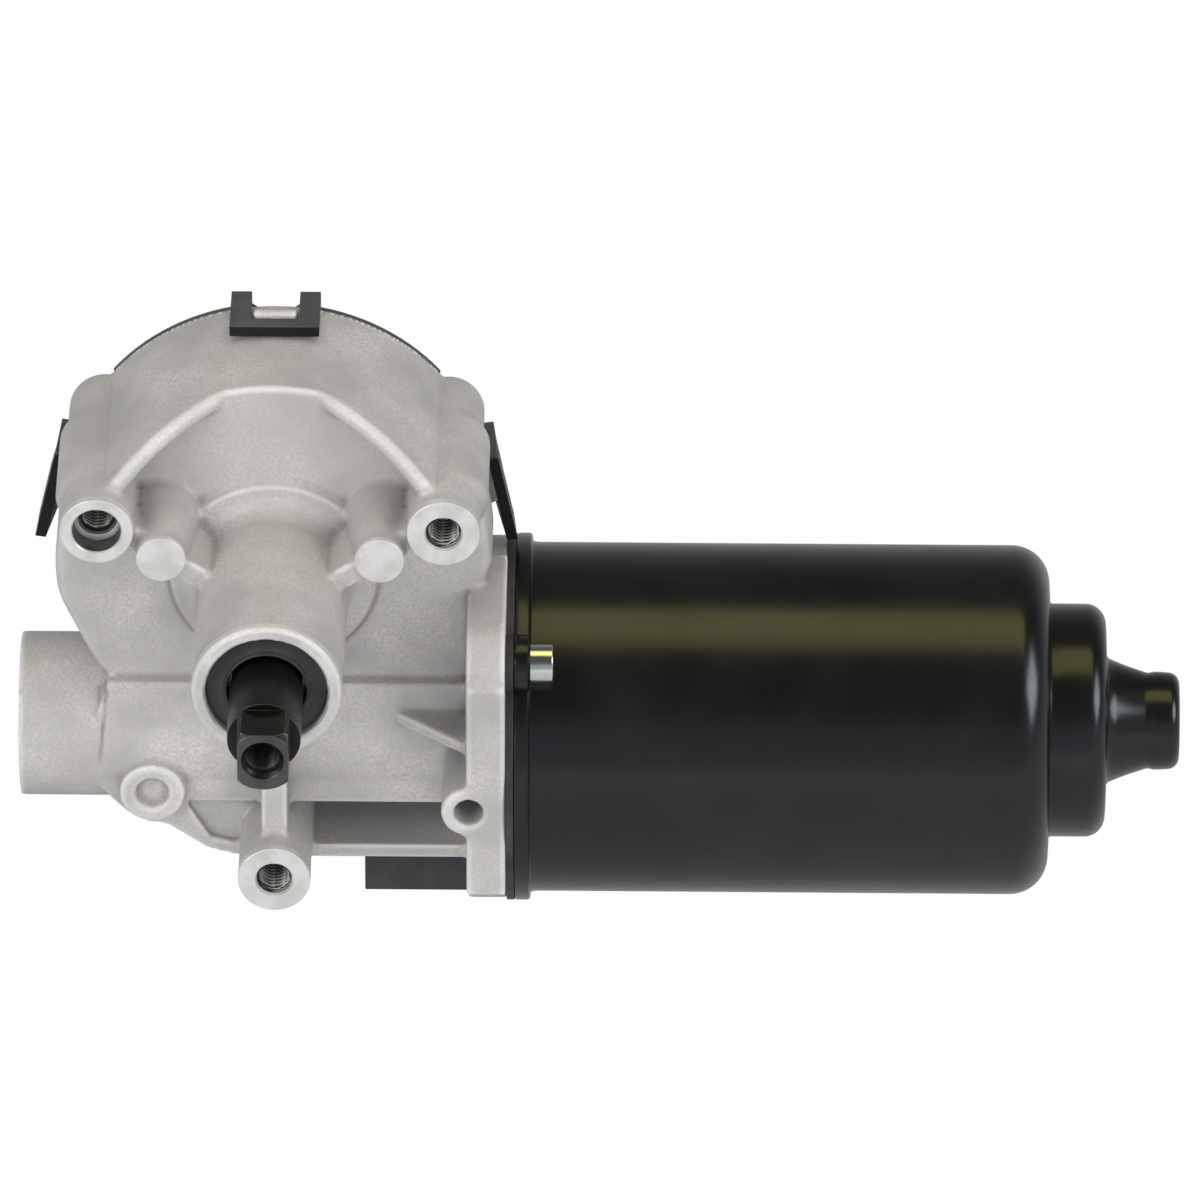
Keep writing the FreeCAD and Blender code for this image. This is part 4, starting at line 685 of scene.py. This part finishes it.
# The two pads are faced too.
PAD_POINTS = [(PAD_FACE, 0), (PAD_FACE, 4.2), (24.32, 4.3), (25.2, 4.3), (25.6, 3.9)]
for side, centre in (("left", LEFT_PAD), ("right", RIGHT_PAD)):
    pad = lathe(side + "_pad_face", PAD_POINTS, to_shaft, centre)
    dressed(pad, MILLED, "housing", "cast_aluminium")

# OUTPUT SHAFT
# Turned steel with a black oxide skin, worn bright along its edges: two side flats and a top
# one lock the crank arm, and a countersunk thread in the end takes its screw.
OXIDE = (0.022, 0.021, 0.02, 1)
OXIDE_BROWN = (0.034, 0.032, 0.03, 1)
OXIDE_WORN = (0.2, 0.195, 0.185, 1)
RUBBED_PALE = (0.19, 0.185, 0.18, 1)
RUBBED_DULL = (0.06, 0.058, 0.056, 1)
RUBBED_BRIGHT = (0.5, 0.5, 0.5, 1)
# Painted light: the shaft's end face is painted lighter than the oxide.
END_LIT_PALE = (0.075, 0.074, 0.073, 1)
END_LIT_DULL = (0.05, 0.049, 0.048, 1)
END_LIT_BRIGHT = (0.12, 0.12, 0.12, 1)
OILED_BLACK = (0.02, 0.02, 0.019, 1)
OILED_DEEP = (0.012, 0.012, 0.012, 1)
SHARP_EDGE = math.radians(28)
WELD = 0.002 * MM
CRANK_THREAD_START, CRANK_THREAD_END = -20.9, -11.0
CRANK_THREAD_RADIUS, CRANK_THREAD_DEPTH = 2.97, 0.5


def steel_finish(
    name, base, other, worn, rough=(0.3, 0.45), metallic=0.9, marks=(1, 1, 1), nicks=0.5
):
    """Bare or coated steel: two tones in patches, fine marks, and nicks and edges of a third."""
    finish, tree, shader = new_finish(name)
    shader.inputs["Metallic"].default_value = metallic
    patch = ranged(tree, grain(tree, scale=210, detail=3), 0.4, 0.65)
    colour = blended(tree, patch, base, other)
    nick = ranged(tree, grain(tree, scale=700, detail=3), 0.66, 0.72, 0.0, nicks)
    colour = blended(tree, nick, colour, worn)
    bend = tree.nodes.new("ShaderNodeNewGeometry").outputs["Pointiness"]
    edge = ranged(tree, bend, 0.53, 0.6)
    colour = blended(tree, edge, colour, worn)
    tree.links.new(colour, shader.inputs["Base Color"])
    level = ranged(tree, grain(tree, scale=800, detail=2), 0.3, 0.7, *rough)
    tree.links.new(level, shader.inputs["Roughness"])
    relief_noise = grain(tree, scale=2400, detail=2, stretch=marks)
    bumped(tree, shader, relief_noise, strength=0.2, depth=0.03 * MM)
    return finish


def softened(name, node, width):
    """A CAD piece's mesh, welded, with every sharp edge broken by a small radius and marked."""
    shape = bmesh.new()
    shape.from_mesh(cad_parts[node].data)
    bmesh.ops.remove_doubles(shape, verts=shape.verts, dist=WELD)
    bmesh.ops.dissolve_limit(
        shape,
        angle_limit=math.radians(0.5),
        verts=shape.verts,
        edges=shape.edges,
        use_dissolve_boundaries=False,
    )
    for face in shape.faces:
        face.material_index = 0
    piece = from_bmesh(name, shape)
    piece.data.materials.append(CAST)
    piece.data.materials.append(CAST)
    bevel = piece.modifiers.new("broken_edges", "BEVEL")
    bevel.material = 1
    bevel.width = width * MM
    bevel.segments = 3
    bevel.limit_method = "ANGLE"
    bevel.angle_limit = SHARP_EDGE
    bevel.use_clamp_overlap = True
    bevel.miter_outer = "MITER_ARC"
    weighted = piece.modifiers.new("flat_faces", "WEIGHTED_NORMAL")
    weighted.keep_sharp = True
    for polygon in piece.data.polygons:
        polygon.use_smooth = True
    return settled(piece)


OXIDED = steel_finish(
    "black_oxide",
    OXIDE,
    OXIDE_BROWN,
    OXIDE_WORN,
    rough=(0.28, 0.42),
    marks=(1, 0.05, 1),
    nicks=0.06,
)
RUBBED = steel_finish("rubbed_edge", RUBBED_PALE, RUBBED_DULL, RUBBED_BRIGHT)
# The end face's finish carries painted light.
LIT_END = steel_finish(
    "lit_end_face", END_LIT_PALE, END_LIT_DULL, END_LIT_BRIGHT, rough=(0.4, 0.55), metallic=0.6, nicks=0.3
)
output_shaft = softened("crank_shaft", "output_shaft", width=0.16)
dressed(output_shaft, OXIDED, "output", "oxide_steel", "output_shaft", edges=RUBBED)
# Inside the boss nothing rubs the edges, and the end face is painted lighter than the oxide, as
# painted light on the face that looks forward.
BOSS_MOUTH, END_FACE = -2 * MM, -21.5 * MM
output_shaft.data.materials.append(LIT_END)
for polygon in output_shaft.data.polygons:
    if polygon.center.y > BOSS_MOUTH:
        polygon.material_index = 0
    elif polygon.normal.y < -0.9 and polygon.center.y < END_FACE:
        polygon.material_index = 2
shaft_thread = threaded(
    "crank_screw_thread",
    to_shaft,
    (0, 0),
    CRANK_THREAD_START,
    CRANK_THREAD_END,
    CRANK_THREAD_RADIUS,
    CRANK_THREAD_DEPTH,
)
THREAD_OILED = machined_finish("oiled_thread", OILED_BLACK, OILED_DEEP, BORE_MARKS)
dressed(shaft_thread, THREAD_OILED, "output", "oxide_steel")
deep_roots(shaft_thread, to_shaft, (0, 0), CRANK_THREAD_RADIUS, CRANK_THREAD_DEPTH)

# SHAFT SEAL
# A moulded rubber ring pressed into the boss's mouth, with a dust lip that hugs the shaft and
# keeps water out of the gears' grease.
RUBBER_BLACK = (0.018, 0.018, 0.019, 1)
RUBBER_GREY = (0.04, 0.04, 0.042, 1)


def moulded_finish(name, base, dusty, rough=(0.5, 0.65), scale=900, relief=0.02):
    """Moulded plastic or rubber: a matt skin with a faint grain and a little dust."""
    finish, tree, shader = new_finish(name)
    cloud = ranged(tree, grain(tree, scale=120, detail=3), 0.42, 0.7, 0.0, 0.7)
    colour = blended(tree, cloud, base, dusty)
    speck = ranged(tree, grain(tree, scale, detail=2), 0.6, 0.74, 0.0, 0.5)
    colour = blended(tree, speck, colour, dusty)
    tree.links.new(colour, shader.inputs["Base Color"])
    level = ranged(tree, grain(tree, scale=420, detail=2), 0.3, 0.7, *rough)
    tree.links.new(level, shader.inputs["Roughness"])
    relief_noise = grain(tree, scale=2600, detail=2)
    bumped(tree, shader, relief_noise, strength=0.3, depth=relief * MM)
    return finish


RUBBER = moulded_finish("seal_rubber", RUBBER_BLACK, RUBBER_GREY)
seal_points = [
    (1.9, 10.55),
    (1.6, 10.35),
    (1.6, 9.2),
    (1.75, 8.4),
    (1.5, 7.5),
    (1.0, 7.25),
    (0.85, 7.05),
    (1.0, 6.88),
    (3.2, 6.86),
    (4.2, 6.86),
    (5.6, 8.4),
    (5.8, 10.55),
]
seal = lathe("dust_lip_seal", seal_points, to_shaft, ring=True)
dressed(seal, RUBBER, "housing", "seal_rubber", "shaft_seal")

# MOTOR CAN
# Deep-drawn steel under glossy black paint. A rolled lip sits on the gasket, a shallow groove
# runs behind it, and the closed end steps down to a hollow nose over the rear bearing.
PAINT_BLACK = (0.0035, 0.0035, 0.0035, 1)
PAINT_DUSTY = (0.006, 0.006, 0.0065, 1)
PAINT_SHEEN = (0.89, 0.95, 1.0, 1)
CAN_RADIUS, CAN_END, CAN_TURN = 30.7, 135.6, 6.6
STEP_RADIUS, STEP_END, STEP_TURN = 20.5, 145.6, 3.6
NOSE_RADIUS, NOSE_END, NOSE_TURN = 8.5, 158.6, 2.0


def painted_finish(name, base, dusty):
    """Glossy stoving paint with a little orange peel and the odd speck of dust."""
    finish, tree, shader = new_finish(name)
    cloud = ranged(tree, grain(tree, scale=60, detail=2), 0.4, 0.7)
    tree.links.new(blended(tree, cloud, base, dusty), shader.inputs["Base Color"])
    level = ranged(tree, grain(tree, scale=160, detail=2), 0.3, 0.7, 0.22, 0.27)
    tree.links.new(level, shader.inputs["Roughness"])
    shader.inputs["Specular Tint"].default_value = PAINT_SHEEN
    relief_noise = grain(tree, scale=900, detail=2)
    bumped(tree, shader, relief_noise, strength=0.12, depth=0.02 * MM)
    return finish


PAINT = painted_finish("stoved_black", PAINT_BLACK, PAINT_DUSTY)


def corner(station, radius, turn, steps):
    """The points of a rounded corner where a turned wall meets an end face."""
    points = []
    for step in range(steps + 1):
        angle = math.pi / 2 * step / steps
        along = station - turn + turn * math.sin(angle)
        points.append((along, radius - turn + turn * math.cos(angle)))
    return points


lip_points = [
    (42.0, 28.9),
    (42.0, 31.9),
    (42.15, 32.2),
    (42.5, 32.3),
    (44.2, 32.3),
    (44.55, 32.15),
    (44.7, 31.8),
]
groove_points = [(44.75, 31.1), (44.95, 30.85), (45.4, 30.75), (46.2, CAN_RADIUS)]
wall_points = [(60.0, CAN_RADIUS), (90.0, CAN_RADIUS), (115.0, CAN_RADIUS)]
end_points = [(135.55, 22.4), (135.3, 21.4), (135.6, 20.75), (136.2, STEP_RADIUS)]
end_points += [(139.5, STEP_RADIUS)]
cone_points = [
    (STEP_END, 12.6),
    (145.7, 11.6),
    (146.2, 10.9),
    (147.6, 10.3),
    (149.4, 9.6),
    (151.2, 9.0),
    (152.4, 8.6),
    (153.0, 8.42),
    (153.6, 8.5),
    (154.2, 8.62),
    (155.4, 8.6),
]
can_points = lip_points + groove_points + wall_points
can_points += corner(CAN_END, CAN_RADIUS, CAN_TURN, 12) + end_points
can_points += corner(STEP_END, STEP_RADIUS, STEP_TURN, 10) + cone_points
can_points += corner(NOSE_END, NOSE_RADIUS, NOSE_TURN, 8) + [(NOSE_END, 0)]
can = lathe("drawn_can", can_points, to_motor, segments=256)
dressed(can, PAINT, "housing", "can_paint", "motor_can")
# The lip widens into a small ear under each can screw.
ear_points = [
    (42.0, 0),
    (42.0, 4.7),
    (42.2, 4.95),
    (42.6, 5.05),
    (44.1, 5.05),
    (44.5, 4.95),
    (44.7, 4.7),
    (44.7, 0),
]
for side, (back, up) in (("front", (-23.2, 25.2)), ("rear", (23.2, -25.2))):
    ear = lathe(side + "_can_ear", ear_points, to_motor, (back, up), 64)
    dressed(ear, PAINT, "housing", "can_paint")

# CAN GASKET
# A plate of black sealing rubber between the casting's flange and the can's lip. The can screws
# squeeze it, and its outline follows the flange's.
gasket = softened("flange_gasket", "can_gasket", width=0.15)
dressed(gasket, RUBBER, "housing", "gasket_rubber", "can_gasket")

# CAN SCREWS
# Two zinc-plated socket-head screws on a diagonal clamp the can's lip to the flange. The rear
# one is hidden behind the can in the usual view.
ZINC = (0.68, 0.72, 0.7, 1)
ZINC_DULL = (0.6, 0.64, 0.61, 1)
ZINC_BRIGHT = (0.78, 0.8, 0.8, 1)
ZINCED = steel_finish(
    "zinc_plating", ZINC, ZINC_DULL, ZINC_BRIGHT, rough=(0.16, 0.22), metallic=1.0, nicks=0.1
)
ZINC_RUBBED = steel_finish(
    "zinc_edge", ZINC_BRIGHT, ZINC, ZINC_BRIGHT, rough=(0.12, 0.2), metallic=1.0
)
can_screws = softened("socket_screws", "can_screws", width=0.3)
dressed(can_screws, ZINCED, "housing", "zinc_steel", "can_screws", edges=ZINC_RUBBED)

# REAR COVER
# Moulded in black glass-filled plastic, with a raised disc and stiffening ribs on its back. Three
# snap clips reach forward over the casting's lugs; their front sides are smooth and carry painted
# shade.
PLASTIC_BLACK = (0.045, 0.047, 0.051, 1)
PLASTIC_PALE = (0.075, 0.078, 0.083, 1)
PLASTIC = moulded_finish(
    "cover_plastic", PLASTIC_BLACK, PLASTIC_PALE, rough=(0.48, 0.62), scale=1300, relief=0.03
)
# Painted shade for the clips' front sides, with their reflection turned down.
CLIP_SHADE_DARK = (0.006, 0.006, 0.007, 1)
CLIP_SHADE_PALE = (0.011, 0.011, 0.012, 1)
CLIP_FRONT_SHADE = moulded_finish("clip_front_shade", CLIP_SHADE_DARK, CLIP_SHADE_PALE, scale=1300)
clip_shader = CLIP_FRONT_SHADE.node_tree.nodes["Principled BSDF"]
clip_shader.inputs["Specular IOR Level"].default_value = 0.2
cover = softened("snap_cover", "rear_cover", width=0.3)
# The two side clips are sprung: each stands off, leans out and hangs towards its lower end. The
# edge behind the top clip's window dips, so that the window stays open above the lug.
LEFT_STAND, LEFT_LEAN = 0.75, 0.1
RIGHT_STAND, RIGHT_LEAN = 1.0, 0.08
CLIP_TOP, CLIP_SAG = 13.5, 0.075
CLIP_BACK, CLIP_INSIDE = 66.0, 35.5
CLIP_LOWEST, CLIP_HIGHEST = -4.5, 15.5
WINDOW_HALF, WINDOW_BOTTOM, WINDOW_BACK = 4.0, 33.0, 68.0
WINDOW_DIP, DIP_SLOPE, DIP_START = 1.3, 0.6, 69.6
for vertex in cover.data.vertices:
    x, y, z = (coordinate / MM for coordinate in vertex.co)
    if abs(x) < WINDOW_HALF and z > WINDOW_BOTTOM and y > WINDOW_BACK:
        vertex.co.z -= (WINDOW_DIP + DIP_SLOPE * max(0.0, y - DIP_START)) * MM
    if y > CLIP_BACK or abs(x) < CLIP_INSIDE or not CLIP_LOWEST < z < CLIP_HIGHEST:
        continue
    stand, lean = (LEFT_STAND, LEFT_LEAN) if x < 0 else (RIGHT_STAND, RIGHT_LEAN)
    below = max(0.0, CLIP_TOP - z)
    vertex.co.x += math.copysign(stand + lean * below, x) * MM
    vertex.co.z -= CLIP_SAG * below * MM
dressed(cover, PLASTIC, "housing", "cover_plastic", "rear_cover")
# The clips' front-facing faces take the painted shade.
cover.data.materials.append(CLIP_FRONT_SHADE)
CLIP_FRONT = 58.5 * MM
for polygon in cover.data.polygons:
    if polygon.normal.y < -0.6 and polygon.center.y < CLIP_FRONT:
        polygon.material_index = 1

# CONNECTOR SOCKET
# The same plastic, moulded as a shroud that faces down, round five tinned copper blades. The
# vehicle's harness plugs into it from below.
SOCKET_BLACK = (0.024, 0.026, 0.029, 1)
SOCKET_DUSTY = (0.04, 0.042, 0.046, 1)
socket_shroud = softened("harness_socket", "connector_socket", width=0.25)
SOCKET = moulded_finish("socket_plastic", SOCKET_BLACK, SOCKET_DUSTY, scale=1300)
dressed(socket_shroud, SOCKET, "housing", "cover_plastic", "connector_socket")
TIN = (0.72, 0.66, 0.54, 1)
TIN_DULL = (0.6, 0.5, 0.36, 1)
TIN_BRIGHT = (0.85, 0.8, 0.7, 1)
TINNED = steel_finish(
    "tinned_copper", TIN, TIN_DULL, TIN_BRIGHT, rough=(0.2, 0.35), metallic=1.0, marks=(1, 1, 0.1)
)
blades = softened("socket_blades", "connector_pins", width=0.12)
dressed(blades, TINNED, "housing", "contact_copper", "connector_pins")


# THE GEAR TRAIN AND BEARINGS INSIDE
# These CAD pieces stay as they are and only take their finishes: sintered bronze bushes, an
# acetal wheel on a steel sleeve, zinc-plated washers and ground bearing steel.
def finished(finish, *nodes):
    """Give carried-over CAD pieces their finish."""
    for node in nodes:
        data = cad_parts[node].data
        data.materials.clear()
        data.materials.append(finish)


BRONZE = steel_finish(
    "sintered_bronze",
    (0.5, 0.34, 0.17, 1),
    (0.4, 0.25, 0.12, 1),
    (0.62, 0.46, 0.26, 1),
    rough=(0.4, 0.55),
)
GROUND = steel_finish(
    "ground_steel",
    (0.5, 0.5, 0.5, 1),
    (0.42, 0.42, 0.43, 1),
    (0.7, 0.7, 0.7, 1),
    rough=(0.18, 0.3),
    marks=(0.05, 1, 1),
)
SPRING = steel_finish(
    "spring_steel",
    (0.3, 0.3, 0.32, 1),
    (0.22, 0.22, 0.25, 1),
    (0.55, 0.55, 0.56, 1),
    rough=(0.25, 0.4),
)
ACETAL = moulded_finish(
    "acetal", (0.66, 0.63, 0.53, 1), (0.58, 0.54, 0.44, 1), rough=(0.32, 0.42), scale=500
)
finished(BRONZE, "front_shaft_bush", "rear_shaft_bush", "worm_end_bush", "can_bush")
finished(ACETAL, "worm_wheel")
finished(GROUND, "wheel_insert", "armature_shaft")
finished(GROUND, "bearing_inner_race", "bearing_outer_race", "bearing_balls")
finished(SPRING, "retaining_ring", "bearing_retainer", "brush_springs")
finished(ZINCED, "front_washer", "wheel_washer", "thrust_plug")
finished(TINNED, "park_contact_disc", "park_contacts")

# THE MOTOR'S INSIDE
# Varnished core sheets, enamelled copper, pressed ferrite arcs, graphite brushes and the brown
# phenolic card that holds them. None of it shows until the can comes off.
VARNISHED = steel_finish(
    "varnished_sheets",
    (0.16, 0.15, 0.15, 1),
    (0.1, 0.09, 0.09, 1),
    (0.34, 0.33, 0.33, 1),
    rough=(0.35, 0.5),
    marks=(8, 1, 1),
)
COPPER = steel_finish(
    "enamelled_copper",
    (0.5, 0.19, 0.07, 1),
    (0.36, 0.12, 0.04, 1),
    (0.66, 0.33, 0.16, 1),
    rough=(0.25, 0.4),
    marks=(0.2, 2, 2),
)
FERRITE = moulded_finish(
    "ferrite", (0.055, 0.055, 0.06, 1), (0.09, 0.09, 0.1, 1), rough=(0.55, 0.75), scale=600
)
GRAPHITE = moulded_finish(
    "graphite", (0.03, 0.03, 0.03, 1), (0.07, 0.055, 0.045, 1), rough=(0.45, 0.6), scale=1500
)
PHENOLIC = moulded_finish(
    "phenolic", (0.11, 0.07, 0.035, 1), (0.16, 0.11, 0.06, 1), rough=(0.4, 0.55), scale=800
)
finished(VARNISHED, "armature_core")
finished(COPPER, "armature_windings", "commutator")
finished(FERRITE, "field_magnets")
finished(GRAPHITE, "brushes")
finished(PHENOLIC, "brush_card")
